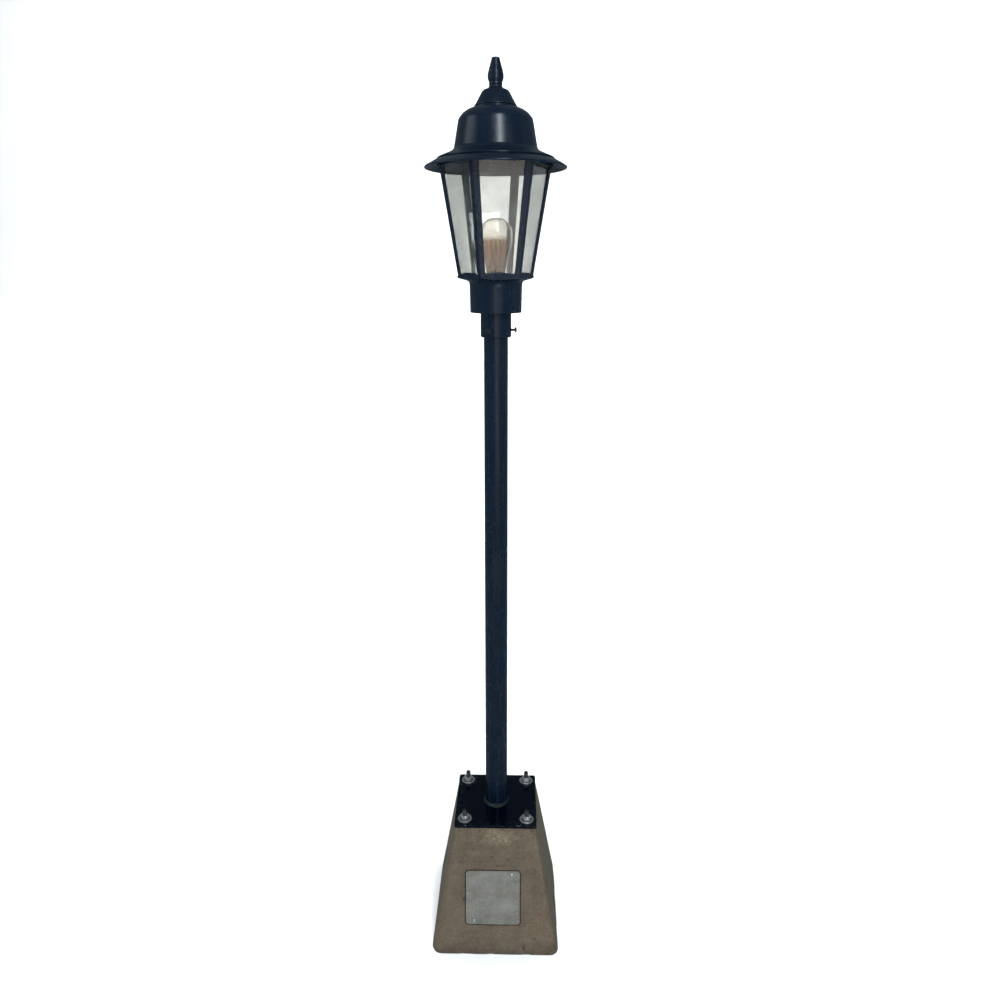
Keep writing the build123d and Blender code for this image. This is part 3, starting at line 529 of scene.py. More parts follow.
    # painted shade: the gap round the cover is drawn near black
    rel = m.vec("SUBTRACT", m.P, tuple(face_point(-0.005, 0.1286, 0)))
    gu = m.math("ABSOLUTE", m.vec("DOT_PRODUCT", rel, tuple(FACE_X)))
    gv = m.math("ABSOLUTE", m.vec("DOT_PRODUCT", rel, tuple(FACE_Y)))
    ragged = m.math("MULTIPLY", m.math("SUBTRACT", m.noise(300.0, 4, 0.6, offset=(5, 1, 1)), 0.5), 0.0030)
    gu = m.math("MAXIMUM", m.math("SUBTRACT", gu, 0.0515), 0.0)
    gv = m.math("MAXIMUM", m.math("SUBTRACT", gv, 0.0525), 0.0)
    gap = m.math("SQRT", m.math("ADD", m.math("MULTIPLY", gu, gu), m.math("MULTIPLY", gv, gv)))
    gap = m.math("ADD", gap, ragged)
    front = m.span(m.axis(m.P, "Y"), -0.1005, -0.0995, 1.0, 0.0)
    gap = m.math("MULTIPLY", m.span(gap, 0.0092, 0.0106, 1.0, 0.0), front)
    c = m.mix(m.math("MULTIPLY", gap, 0.88), c, srgb(34, 29, 24))
    c = m.mix(1.0, c, (0.665, 0.645, 0.60), mode="MULTIPLY")
    m.colour(c)
    m.rough(m.span(mid, 0.3, 0.7, 0.93, 0.80))
    height = m.math("ADD", m.math("MULTIPLY", grain, 0.55), m.math("MULTIPLY", m.noise(170.0, 5, 0.65), 0.9))
    n = m.bump(height, 0.55, 0.0009)
    n = m.bump(holes, 0.9, -0.0022, n)
    m.normal(n)
    return m.m


def make_cover():
    """Dull zinc-coated aluminium sheet: patches of grey bloom, hand smears, fine scratches."""
    m = Mat("cover_metal", Metallic=0.35)
    blot = m.noise(30.0, 6, 0.62)
    c = m.mix(m.span(blot, 0.34, 0.68), srgb(134, 130, 124), srgb(160, 156, 149))
    smear = m.noise(1.0, 5, 0.6, vec=m.scaled(m.P, (22, 60, 75), (0.2, 0.1, 0.7)))
    c = m.mix(m.span(smear, 0.52, 0.72, 0, 0.55), c, srgb(112, 109, 103))
    yel = m.span(m.noise(24.0, 3, offset=(3, 3, 9)), 0.56, 0.70, 0, 0.30)
    c = m.mix(yel, c, srgb(156, 146, 116))
    grime = m.span(m.noise(210.0, 5, 0.7), 0.50, 0.74, 0, 0.42)
    c = m.mix(grime, c, srgb(88, 83, 75))
    line = m.noise(1.0, 2, 0.5, vec=m.scaled(m.P, (900, 60, 30), (0, 0, 0)))
    c = m.mix(m.span(line, 0.60, 0.68, 0, 0.22), c, srgb(186, 186, 182))
    m.colour(c)
    m.rough(m.math("ADD", m.span(blot, 0.3, 0.7, 0.44, 0.56), m.math("MULTIPLY", grime, 0.25)))
    n = m.bump(m.noise(36.0, 3), 0.18, 0.0009)
    n = m.bump(m.noise(430.0, 4, 0.65), 0.10, 0.0003, n)
    m.normal(n)
    return m.m


def make_zinc(name="zinc", base=(0.66, 0.67, 0.65), rough=(0.28, 0.42), dirt=0.45):
    """Bright zinc plate gone patchy, with white bloom, a little dirt, and painted contact shade on the washers round
    each nut.
    """
    m = Mat(name, Metallic=0.80)
    blot = m.noise(190.0, 5, 0.6)
    c = m.mix(m.span(blot, 0.36, 0.66), tuple(x * 0.72 for x in base), base)
    bloom = m.span(m.noise(420.0, 4, 0.62, offset=(2, 9, 3)), 0.54, 0.68, 0, 0.5)
    c = m.mix(bloom, c, (0.66, 0.67, 0.66))
    grime = m.span(m.noise(110.0, 5, 0.66, offset=(8, 3, 1)), 0.52, 0.70, 0, dirt)
    c = m.mix(grime, c, (0.10, 0.085, 0.065))
    # painted contact shade with grime: a dark ring on each washer round its nut
    ax = m.math("SUBTRACT", m.math("ABSOLUTE", m.axis(m.P, "X")), 0.068)
    ay = m.math("SUBTRACT", m.math("ABSOLUTE", m.axis(m.P, "Y")), 0.068)
    rr = m.math("SQRT", m.math("ADD", m.math("MULTIPLY", ax, ax), m.math("MULTIPLY", ay, ay)))
    rr = m.math("ADD", rr, m.math("MULTIPLY", m.math("SUBTRACT", m.noise(330.0, 4, 0.6), 0.5), 0.003))
    low = m.span(m.axis(m.P, "Z"), 0.2886, 0.2890, 1.0, 0.0)
    contact_shade_and_grime = m.math("MULTIPLY", m.math("MULTIPLY", m.span(rr, 0.0116, 0.0132, 1.0, 0.0), low), 0.72)
    c = m.mix(contact_shade_and_grime, c, (0.045, 0.040, 0.034))
    grime = m.math("MAXIMUM", grime, contact_shade_and_grime)
    m.colour(c)
    m.rough(m.math("ADD", m.span(blot, 0.3, 0.7, *rough), m.math("MULTIPLY", grime, 0.4)))
    m.normal(m.bump(m.noise(900.0, 4, 0.65), 0.16, 0.0002))
    return m.m


def make_stud_steel():
    """Zinc-plated thread, dark with grime in its roots."""
    m = Mat("stud_steel", Metallic=0.9)
    x, y = m.axis(m.P, "X"), m.axis(m.P, "Y")
    ax = m.math("SUBTRACT", m.math("ABSOLUTE", x), 0.068)
    ay = m.math("SUBTRACT", m.math("ABSOLUTE", y), 0.068)
    rr = m.math("SQRT", m.math("ADD", m.math("MULTIPLY", ax, ax), m.math("MULTIPLY", ay, ay)))
    root = m.span(rr, 0.00425, 0.00495, 0.9, 0.1)
    blot = m.noise(260.0, 5, 0.6)
    c = m.mix(m.span(blot, 0.36, 0.66), (0.085, 0.085, 0.080), (0.21, 0.21, 0.20))
    c = m.mix(root, c, (0.025, 0.022, 0.019))
    m.colour(c)
    m.rough(m.math("ADD", m.span(blot, 0.3, 0.7, 0.30, 0.48), m.math("MULTIPLY", root, 0.2)))
    m.normal(m.bump(m.noise(1400.0, 3, 0.6), 0.18, 0.00015))
    return m.m


def make_galvanised():
    """Hot-dip galvanised sheet with its spangle."""
    m = Mat("galvanised", Metallic=0.9)
    cell = m.cells(85.0, out="Color")
    tone = m.axis(cell, "X")
    c = m.mix(tone, (0.34, 0.35, 0.36), (0.52, 0.53, 0.54))
    dirt = m.span(m.noise(55.0, 5, 0.65), 0.52, 0.74, 0, 0.5)
    c = m.mix(dirt, c, (0.15, 0.135, 0.115))
    m.colour(c)
    m.rough(m.math("ADD", m.span(tone, 0, 1, 0.36, 0.52), m.math("MULTIPLY", dirt, 0.3)))
    m.normal(m.bump(m.noise(500.0, 3, 0.6), 0.10, 0.0002))
    return m.m


def make_dark_screw():
    """Blackened steel screws, their finish rubbed bright in small patches."""
    m = Mat("dark_screw", Metallic=0.75)
    blot = m.noise(420.0, 5, 0.62)
    c = m.mix(m.span(blot, 0.40, 0.66), (0.022, 0.024, 0.027), (0.060, 0.062, 0.064))
    worn = m.span(m.noise(900.0, 4, 0.66, offset=(2, 1, 7)), 0.58, 0.68, 0, 0.6)
    c = m.mix(worn, c, (0.22, 0.215, 0.20))
    m.colour(c)
    m.rough(m.span(blot, 0.3, 0.7, 0.30, 0.50))
    m.normal(m.bump(m.noise(1300.0, 3), 0.14, 0.00015))
    return m.m


def make_clear_glass():
    """Window glass with a faint green cast and a thin film of dust and water marks, with painted shade darkening the
    side panes.
    """
    m = Mat("clear_glass", IOR=1.5)
    film = m.noise(24.0, 6, 0.62)
    low = m.span(m.axis(m.P, "Z"), 1.452, 1.500, 1.0, 0.0)
    drops = m.span(m.cells(95.0), 0.16, 0.30, 1.0, 0.0)
    drops = m.math("MULTIPLY", drops, m.span(m.noise(30.0, 3, offset=(2, 6, 4)), 0.50, 0.62))
    haze = m.math("ADD", m.span(film, 0.42, 0.70, 0.0, 0.75), m.math("MULTIPLY", low, m.span(m.noise(70.0, 5, 0.6), 0.40, 0.65, 0.0, 0.8)))
    haze = m.math("ADD", haze, m.math("MULTIPLY", drops, 0.25), clamp=True)
    # painted shade: the four side panes are tinted darker than the front and back panes
    side = m.span(m.math("ABSOLUTE", m.axis(m.P, "X")), 0.044, 0.066, 0.0, 1.0)
    clean = m.mix(side, (0.715, 0.718, 0.690), (0.600, 0.606, 0.582))
    m.colour(m.mix(haze, clean, m.mix(side, (0.65, 0.65, 0.62), (0.545, 0.55, 0.525))))
    m.put(m.p.inputs["Transmission Weight"], m.span(haze, 0.0, 1.0, 0.985, 0.90))
    m.rough(m.span(haze, 0.0, 1.0, 0.0, 0.06))
    m.let_lamps_through((0.73, 0.745, 0.72))
    return m.m


def make_amber_glass():
    """Gold-tinted clear bulb glass, a little uneven as blown glass is, with painted shade making its lower part dark
    brown.
    """
    m = Mat("amber_glass", IOR=1.5, Transmission_Weight=1.0)
    z = m.axis(m.P, "Z")
    # painted shade: the lower part of the bulb is coloured dark brown, standing in for the dark surroundings seen
    # through it
    tone = m.math("ADD", m.span(m.noise(40.0, 3), 0.3, 0.7, -0.12, 0.12), m.span(z, 1.510, 1.534, 1.0, 0.0, smooth=True))
    m.colour(m.mix(tone, (0.985, 0.958, 0.920), (0.45, 0.320, 0.200)))
    m.rough(m.span(m.noise(60.0, 4, 0.6), 0.5, 0.8, 0.0, 0.02))
    m.normal(m.bump(m.noise(45.0, 2), 0.02, 0.0008))
    m.let_lamps_through((0.80, 0.68, 0.52))
    return m.m


def make_stem_glass():
    m = Mat("stem_glass", IOR=1.5, Transmission_Weight=1.0)
    m.colour(m.mix(m.span(m.noise(110.0, 3), 0.4, 0.7), (0.95, 0.95, 0.92), (0.86, 0.86, 0.80)))
    m.rough(m.span(m.noise(150.0, 3, offset=(1, 1, 3)), 0.4, 0.8, 0.0, 0.10))
    m.normal(m.bump(m.noise(160.0, 2), 0.18, 0.0010))
    m.let_lamps_through((0.92, 0.92, 0.90))
    return m.m


def make_filament():
    """Straight filament sticks under a yellow phosphor coat with beads of chip along them."""
    m = Mat("filament", IOR=1.45)
    beads = m.cells(620.0)
    c = m.mix(m.span(beads, 0.2, 0.55), (0.95, 0.76, 0.30), (0.86, 0.60, 0.17))
    c = m.mix(m.span(m.noise(380.0, 3), 0.55, 0.7, 0, 0.4), c, (0.98, 0.88, 0.55))
    m.colour(c)
    m.rough(m.span(beads, 0.2, 0.6, 0.38, 0.55))
    m.normal(m.bump(beads, 0.5, 0.0004))
    return m.m


def make_wire():
    m = Mat("wire", Metallic=1.0)
    n = m.noise(700.0, 3)
    m.colour(m.mix(m.span(n, 0.35, 0.65), (0.50, 0.47, 0.43), (0.68, 0.65, 0.60)))
    m.rough(m.span(n, 0.3, 0.7, 0.20, 0.34))
    return m.m


def make_brass(name, a, b, rough):
    m = Mat(name, Metallic=1.0)
    blot = m.noise(130.0, 5, 0.6)
    c = m.mix(m.span(blot, 0.36, 0.66), a, b)
    tarnish = m.span(m.noise(75.0, 5, 0.66, offset=(3, 7, 1)), 0.52, 0.72, 0, 0.55)
    c = m.mix(tarnish, c, tuple(0.35 * x for x in a))
    m.colour(c)
    m.rough(m.math("ADD", m.span(blot, 0.3, 0.7, *rough), m.math("MULTIPLY", tarnish, 0.25)))
    m.normal(m.bump(m.noise(900.0, 3), 0.08, 0.0002))
    return m.m


def make_insulator():
    m = Mat("insulator", IOR=1.55)
    n = m.noise(200.0, 4, 0.6)
    m.colour(m.mix(m.span(n, 0.3, 0.7), (0.012, 0.012, 0.016), (0.035, 0.034, 0.040)))
    m.rough(m.span(n, 0.3, 0.7, 0.10, 0.24))
    m.normal(m.bump(m.noise(350.0, 3), 0.12, 0.0004))
    return m.m


def make_porcelain():
    """Glazed porcelain, faintly wavy, with a few iron specks and dust on what faces up."""
    m = Mat("porcelain", IOR=1.52, Coat_Weight=0.4, Coat_Roughness=0.05)
    n = m.noise(45.0, 4, 0.55)
    c = m.mix(m.span(n, 0.3, 0.7), srgb(232, 228, 216), srgb(242, 240, 232))
    speck = m.math("MULTIPLY", m.span(m.cells(260.0), 0.06, 0.12, 1.0, 0.0), m.span(m.noise(60.0, 2), 0.56, 0.62))
    c = m.mix(m.math("MULTIPLY", speck, 0.6), c, srgb(120, 96, 70))
    dust = m.math("MULTIPLY", m.span(m.axis(m.N, "Z"), 0.4, 1.0), m.span(m.noise(120.0, 5, 0.65), 0.42, 0.7))
    c = m.mix(m.math("MULTIPLY", dust, 0.35), c, srgb(160, 152, 138))
    m.colour(c)
    m.rough(m.math("ADD", m.span(n, 0.3, 0.7, 0.12, 0.22), m.math("MULTIPLY", dust, 0.4)))
    m.normal(m.bump(m.noise(70.0, 2), 0.12, 0.0010))
    return m.m


def make_plastic():
    m = Mat("terminal_plastic", IOR=1.5)
    n = m.noise(60.0, 5, 0.6)
    c = m.mix(m.span(n, 0.3, 0.7), srgb(204, 202, 190), srgb(220, 218, 208))
    grime = m.span(m.noise(160.0, 5, 0.65, offset=(3, 4, 5)), 0.52, 0.74, 0, 0.45)
    c = m.mix(grime, c, srgb(150, 142, 124))
    m.colour(c)
    m.rough(m.span(n, 0.3, 0.7, 0.30, 0.44))
    m.normal(m.bump(m.noise(900.0, 3), 0.10, 0.0002))
    return m.m


def make_rubber(name, a, b, scale=300.0):
    m = Mat(name, IOR=1.45)
    n = m.noise(scale, 5, 0.62)
    c = m.mix(m.span(n, 0.34, 0.68), a, b)
    dust = m.math("MULTIPLY", m.span(m.axis(m.N, "Z"), 0.0, 1.0), m.span(m.noise(90.0, 4), 0.44, 0.7))
    c = m.mix(m.math("MULTIPLY", dust, 0.25), c, (0.12, 0.11, 0.10))
    m.colour(c)
    m.rough(m.span(n, 0.3, 0.7, 0.55, 0.78))
    m.normal(m.bump(m.noise(scale * 3, 3), 0.18, 0.0002))
    return m.m


PAINT = make_paint()
PLATE = make_plate_paint()
CONCRETE = make_concrete()
COVER = make_cover()
ZINC = make_zinc()
BRIGHT_ZINC = make_zinc("screw_zinc", (0.80, 0.80, 0.79), (0.13, 0.22), 0.30)
STUD = make_stud_steel()
GALV = make_galvanised()
DARK = make_dark_screw()
GLASS = make_clear_glass()
AMBER = make_amber_glass()
STEM = make_stem_glass()
FILAMENT = make_filament()
WIRE = make_wire()
CAP = make_brass("cap_metal", (0.66, 0.58, 0.38), (0.80, 0.72, 0.50), (0.20, 0.34))
BRASS = make_brass("shell_brass", (0.62, 0.45, 0.20), (0.78, 0.60, 0.30), (0.22, 0.38))
INSULATOR = make_insulator()
PORCELAIN = make_porcelain()
PLASTIC = make_plastic()
RUBBER = make_rubber("seal_rubber", (0.012, 0.012, 0.013), (0.030, 0.030, 0.031))
SHEATH = make_rubber("cable_sheath", (0.016, 0.016, 0.017), (0.036, 0.036, 0.037), 220.0)

SLOT_MAT = {
    "paint": PAINT, "plate_paint": PLATE, "concrete": CONCRETE, "cover_metal": COVER, "zinc": ZINC, "stud_steel": STUD,
    "dark_screw": DARK, "galvanised": GALV, "clear_glass": GLASS, "amber_glass": AMBER, "stem_glass": STEM,
    "filament": FILAMENT, "wire": WIRE, "cap_metal": CAP, "shell_brass": BRASS, "insulator": INSULATOR,
    "porcelain": PORCELAIN, "terminal_plastic": PLASTIC, "seal_rubber": RUBBER, "cable_sheath": SHEATH,
}
SLOT_OF = {s["node"]: s["material_slot"] for s in frame["record"]["subparts"]}
for node, ob in NODES.items():
    ob.data.materials.clear()
    ob.data.materials.append(SLOT_MAT[SLOT_OF[node]])


# ------------------------------------------------------------------ the concrete block
def ring_at(t, per_side=112, per_corner=12):
    """The block's outline at height share t as points and outward normals, with how near each point is to a corner."""
    half = 0.140 - 0.050 * t
    rad = 0.015 - 0.007 * t
    pts, nrm, corner = [], [], []
    for q in range(4):
        a0 = -math.pi / 2 + q * math.pi / 2          # side q faces this way, starting with -Y
        nx, ny = math.cos(a0), math.sin(a0)
        tx, ty = -ny, nx
        run = half - rad
        for i in range(per_side):
            s = -run + 2 * run * i / per_side
            pts.append((nx * half + tx * s, ny * half + ty * s))
            nrm.append((nx, ny))
            corner.append(max(0.0, abs(s) - (run - 0.010)) / 0.010)
        cx, cy = nx * run + tx * run, ny * run + ty * run
        for i in range(per_corner):
            a = a0 + math.pi / 2 * i / per_corner
            pts.append((cx + rad * math.cos(a), cy + rad * math.sin(a)))
            nrm.append((math.cos(a), math.sin(a)))
            corner.append(1.0 + 0.6 * math.sin(math.pi * i / per_corner))
    return np.array(pts), np.array(nrm), np.array(corner)


def build_block():
    rows = 176
    heights = [0.0] + [0.280 * i / rows for i in range(1, rows + 1)]
    P, N, C = [], [], []
    for z in heights:
        p, n, c = ring_at(z / 0.280)
        P.append(np.column_stack([p, np.full(len(p), z)]))
        N.append(np.column_stack([n * CA, np.full(len(n), SA)]))
        C.append(c)
    cols = len(C[0])
    P, N, C = np.concatenate(P), np.concatenate(N), np.concatenate(C)
    z = P[:, 2]
    # gentle hollows, sandy skin, worn corners, chipped rims, pin holes: all of it takes material away
    depth = 0.00022 * (1 + fbm(P, 14, 3, 3)) + 0.00013 * (1 + fbm(P, 170, 9, 3))
    wear = np.clip(C, 0, 1.6)
    depth += wear * 0.00042 * (1 + fbm(P, 40, 21, 3))
    chip = np.clip(fbm(P, 30, 33, 3) - 0.24, 0, 1) * 0.0085
    depth += np.clip(C - 0.35, 0, 1) * chip
    top = np.clip((z - 0.272) / 0.008, 0, 1)
    foot = np.clip((0.010 - z) / 0.010, 0, 1)
    depth += top ** 2 * (0.0006 + np.clip(fbm(P, 36, 51, 3) - 0.10, 0, 1) * 0.0045)
    depth += foot ** 2 * (0.0004 + np.clip(fbm(P, 28, 61, 3) - 0.12, 0, 1) * 0.0050)
    rng = np.random.default_rng(42)
    # pin holes as shallow bowls
    for _ in range(150):
        q = rng.integers(0, 4)
        zc = rng.uniform(0.01, 0.272)
        half = 0.140 - 0.050 * zc / 0.280
        s = rng.uniform(-half + 0.012, half - 0.012)
        a0 = -math.pi / 2 + q * math.pi / 2
        centre = np.array([math.cos(a0) * half - math.sin(a0) * s, math.sin(a0) * half + math.cos(a0) * s, zc])
        rad = rng.uniform(0.0016, 0.0036) if rng.random() < 0.85 else rng.uniform(0.0036, 0.0052)
        d = np.linalg.norm((P - centre) * np.array([1, 1, rng.uniform(0.75, 1.2)]), axis=1)
        depth += np.clip(1 - (d / rad) ** 2, 0, 1) * rad * rng.uniform(0.45, 0.8)
    for u0, v0, ru, rv, deep in ((-0.0484, 0.2362, 0.0042, 0.0034, 0.0030), (0.0695, 0.1877, 0.0040, 0.0038, 0.0028),
                                 (0.0921, 0.0259, 0.0030, 0.0026, 0.0020), (0.0628, 0.0186, 0.0016, 0.0085, 0.0018),
                                 (-0.0785, 0.2081, 0.0030, 0.0024, 0.0018), (-0.0690, 0.1241, 0.0030, 0.0034, 0.0018)):
        c0 = np.array(face_point(u0, v0, 0))
        du = (P[:, 0] - c0[0]) / ru
        dv = ((P - c0) @ np.array(FACE_Y)) / rv
        d2 = du ** 2 + dv ** 2 + 0.35 * vnoise(P, 420, 77)
        depth += np.where(N[:, 1] < -0.5, np.clip(1 - d2, 0, 1), 0) * deep
    # keep the skin where the cover's recess is cut, so that its rim stays whole
    rel = P - np.array(face_point(0, 0, 0))
    v = rel @ np.array(FACE_Y)
    u = P[:, 0]
    near = (np.abs(u + 0.005) < 0.0605) & (np.abs(v - 0.1286) < 0.0615) & (N[:, 1] < -0.5)
    depth = np.where(near, np.minimum(depth, 0.0004), depth)
    P = P - N * depth[:, None]
    P[:cols, 2] = 0.0
    P[-cols:, 2] = 0.280
    verts = [tuple(p) for p in P]
    faces = grid_faces(len(heights), cols)

    def disc(edge_start, z, radius, steps):
        """Rings from an outline in to a circle, sharing the outline's own points."""
        prev = list(range(edge_start, edge_start + cols))
        outer = [verts[i] for i in prev]
        for k in range(1, steps + 1):
            f = k / steps
            ring = []
            for x, y, _ in outer:
                a = math.atan2(y, x)
                cx, cy = radius * math.cos(a), radius * math.sin(a)
                ring.append(len(verts))
                verts.append((x + (cx - x) * f, y + (cy - y) * f, z))
            for c in range(cols):
                d = (c + 1) % cols
                faces.append((prev[c], prev[d], ring[d], ring[c]))
            prev = ring
        return prev

    inner_low = disc(0, 0.0, 0.022, 6)
    inner_top = disc((len(heights) - 1) * cols, 0.280, 0.019, 6)
    angles = [math.atan2(verts[i][1], verts[i][0]) for i in inner_low]

    def ring(radius, z):
        start = len(verts)
        verts.extend((radius * math.cos(a), radius * math.sin(a), z) for a in angles)
        return list(range(start, start + cols))

    walls = [inner_low, ring(0.022, 0.045), ring(0.022, 0.090), ring(0.019, 0.090), ring(0.019, 0.19), inner_top]
    for a, b in zip(walls, walls[1:]):
        for c in range(cols):
            d = (c + 1) % cols
            faces.append((a[c], a[d], b[d], b[c]))
    ob = loose("concrete_block_cast", verts, faces)

    def prism(name, outline, w0, w1):
        n = len(outline)
        vs = [face_point(u, v, w) for w in (w0, w1) for u, v in outline]
        fs = [tuple(range(n)), tuple(range(n, 2 * n))] + [(i, (i + 1) % n, n + (i + 1) % n, n + i) for i in range(n)]
        return loose(name, vs, fs)

    def rounded(cu, cv, w, h, r, step=0.0016, rough=0.0, seed=5):
        pts = []
        for qx, qy, a0 in ((1, -1, -90), (1, 1, 0), (-1, 1, 90), (-1, -1, 180)):
            ccx, ccy = cu + qx * (w / 2 - r), cv + qy * (h / 2 - r)
            for i in range(9):
                a = math.radians(a0 + 90 * i / 8)
                pts.append((ccx + r * math.cos(a), ccy + r * math.sin(a)))
        dense = []
        for i, p in enumerate(pts):
            q = pts[(i + 1) % len(pts)]
            k = max(1, int(math.dist(p, q) / step))
            dense += [(p[0] + (q[0] - p[0]) * j / k, p[1] + (q[1] - p[1]) * j / k) for j in range(k)]
        if rough:
            d = np.array([(x, y, 0.3) for x, y in dense])
            off = rough * (0.5 + 0.5 * fbm(d, 90, seed, 3)) + 1.4 * rough * np.clip(fbm(d, 45, seed + 3, 2) - 0.2, 0, 1)
            out = []
            for (x, y), o in zip(dense, off):
                v = Vector((x - cu, y - cv)).normalized()
                out.append((x + v.x * o, y + v.y * o))
            dense = out
        return dense

    cu, cv = -0.005, 0.1286
    cut(ob, prism("recess", rounded(cu, cv, 0.1212, 0.1232, 0.0091, rough=0.0011), 0.012, -0.0015))
    cut(ob, prism("pocket", rounded(cu, cv, 0.1120, 0.1160, 0.005, step=0.02), 0.010, -0.0615))
    tube = [(0.014 * math.cos(2 * math.pi * i / 48), 0.1286 + 0.014 * math.sin(2 * math.pi * i / 48)) for i in range(48)]
    cut(ob, prism("branch", tube, -0.058, -0.1135))
    me = ob.data.copy()
    me.name = "concrete_block_cast"
    bpy.data.objects.remove(ob)
    return finish_mesh("concrete_block_cast", me, CONCRETE, "base", 50, ("concrete_block",))


build_block()


# ------------------------------------------------------------------ threads, studs and screws
def studs():
    """Four hooked M10 studs with a rolled thread at the top."""
    verts, faces = [], []
    segs, r0, pitch = 40, 0.005, 0.0015
    theta = np.arange(segs) * 2 * math.pi / segs
    for sx, sy in ((-1, -1), (-1, 1), (1, -1), (1, 1)):
        inward = -1 if sy > 0 else 1
        x, y = sx * 0.068, sy * 0.068
        bend = 0.015
        rows = []                                     # (centre, direction) for the plain part
        foot = Vector((x, y + inward * 0.034, 0.195))
        for i in range(5):
            rows.append((foot + Vector((0, -inward * (0.034 - bend) * i / 4, 0)), Vector((0, -inward, 0))))
        centre = Vector((x, y + inward * bend, 0.195 + bend))
        for i in range(1, 13):
            a = math.pi / 2 * i / 12
            rows.append((centre + Vector((0, -inward * bend * math.sin(a), -bend * math.cos(a))),
                         Vector((0, -inward * math.cos(a), math.sin(a)))))
        for z in np.linspace(0.220, 0.262, 5):
            rows.append((Vector((x, y, z)), Vector((0, 0, 1))))
        base = len(verts)
        verts.append(tuple(foot))
        for c, d in rows:
            side = Vector((1, 0, 0))
            other = d.cross(side).normalized()
            verts.extend(tuple(c + side * (r0 * math.cos(t)) + other * (r0 * math.sin(t))) for t in theta)
        zs = np.arange(0.2622, 0.3110 + 1e-9, 0.00017)
        zs = np.append(zs[zs < 0.31095], 0.3110)
        phase0 = (sx * 0.37 + sy * 0.21) * 2 * math.pi
        for z in zs:
            major = r0
            r = thread_radius(theta + phase0, z, major, 0.00088, pitch)
            fade = np.clip((z - 0.2622) / 0.002, 0, 1)
            r = major - (major - r) * fade
            tip = 0.0027 + (0.3110 - z) * 0.85
            r = np.minimum(r, tip)
            verts.extend((x + rr * math.cos(t), y + rr * math.sin(t), z) for rr, t in zip(r, theta))
        total = len(rows) + len(zs)
        faces.extend(grid_faces(total, segs, start=base + 1))
        faces.extend((base, base + 1 + (s + 1) % segs, base + 1 + s) for s in range(segs))
        last = base + 1 + (total - 1) * segs
        top = len(verts)
        verts.append((x, y, 0.3110))
        faces.extend((top, last + s, last + (s + 1) % segs) for s in range(segs))
    # the plain rings wind about the axis by a different start from the threaded ones: both begin at +X
    return new_object("anchor_studs_threaded", verts, faces, STUD, "base", 50, ("anchor_studs",))


studs()


def screw(name, node, base, axis, shank_r, pitch, shank_len, head, slot, turn, mat, root=0.8):
    """A slotted screw: threaded shank from base along axis, head profile [(r, h)] above it, slot (width, depth)."""
    axis = Vector(axis).normalized()
    side = axis.orthogonal().normalized()
    other = axis.cross(side)
    segs = 48
    theta = np.arange(segs) * 2 * math.pi / segs
    depth = pitch * 0.54 * root
    rings = []
    zs = np.arange(0, shank_len, pitch / 9)
    for z in np.append(zs, shank_len):
        r = thread_radius(theta, z, shank_r, depth, pitch)
        fade = np.clip((shank_len - z) / (1.2 * pitch), 0, 1)
        r = shank_r - (shank_r - r) * fade
        r = np.minimum(r, shank_r * 0.66 + z * 0.9)
        rings.append((z, r))
    for r, h in head:
        rings.append((shank_len + h, np.full(segs, r)))
    verts = [Vector((0, 0, 0))]
    for z, r in rings:
        verts.extend(Vector((rr * math.cos(t), rr * math.sin(t), z)) for rr, t in zip(r, theta))
    faces = grid_faces(len(rings), segs, start=1)
    faces.extend((0, 1 + (s + 1) % segs, 1 + s) for s in range(segs))
    top_z = shank_len + head[-1][1]
    last = 1 + (len(rings) - 1) * segs
    verts.append(Vector((0, 0, top_z)))
    faces.extend((len(verts) - 1, last + s, last + (s + 1) % segs) for s in range(segs))
    ob = loose(name, verts, faces)
    w, d = slot
    half = max(r for r, h in head) * 1.3
    c, s = math.cos(turn), math.sin(turn)
    box = []
    for z in (top_z - d, top_z + 0.002):
        for sx, sy in ((-1, -1), (1, -1), (1, 1), (-1, 1)):
            lx, ly = sx * half, sy * w / 2
            box.append((lx * c - ly * s, lx * s + ly * c, z))
    cutter = loose("slot_cutter", box, [(0, 1, 2, 3), (4, 5, 6, 7), (0, 1, 5, 4), (1, 2, 6, 5), (2, 3, 7, 6), (3, 0, 4, 7)])
    cut(ob, cutter)
    me = ob.data.copy()
    me.name = name
    bpy.data.objects.remove(ob)
    for v in me.vertices:
        v.co = base + side * v.co.x + other * v.co.y + axis * v.co.z
    body = NODES[node]["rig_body"]
    return finish_mesh(name, me, mat, body, 32, (node,))


def dome(radius, height, rim, edge=0.0003, steps=9, crown=0.35):
    """Pan head profile from its underside up: a short wall, a rounded shoulder and a shallow crown."""
    pts = [(radius - edge, 0.0), (radius, edge)]
    pts.append((radius, rim))
    for i in range(1, steps + 1):
        a = math.pi / 2 * i / steps
        pts.append((radius * (crown + (1 - crown) * math.cos(a)), rim + (height - rim) * (1 - crown * 0.5) * math.sin(a)))
    top = pts[-1][1]
    for i in range(1, 4):
        f = i / 3
        pts.append((radius * crown * (1 - 0.85 * f), top + (height - top) * (1 - (1 - f) ** 2)))
    return pts


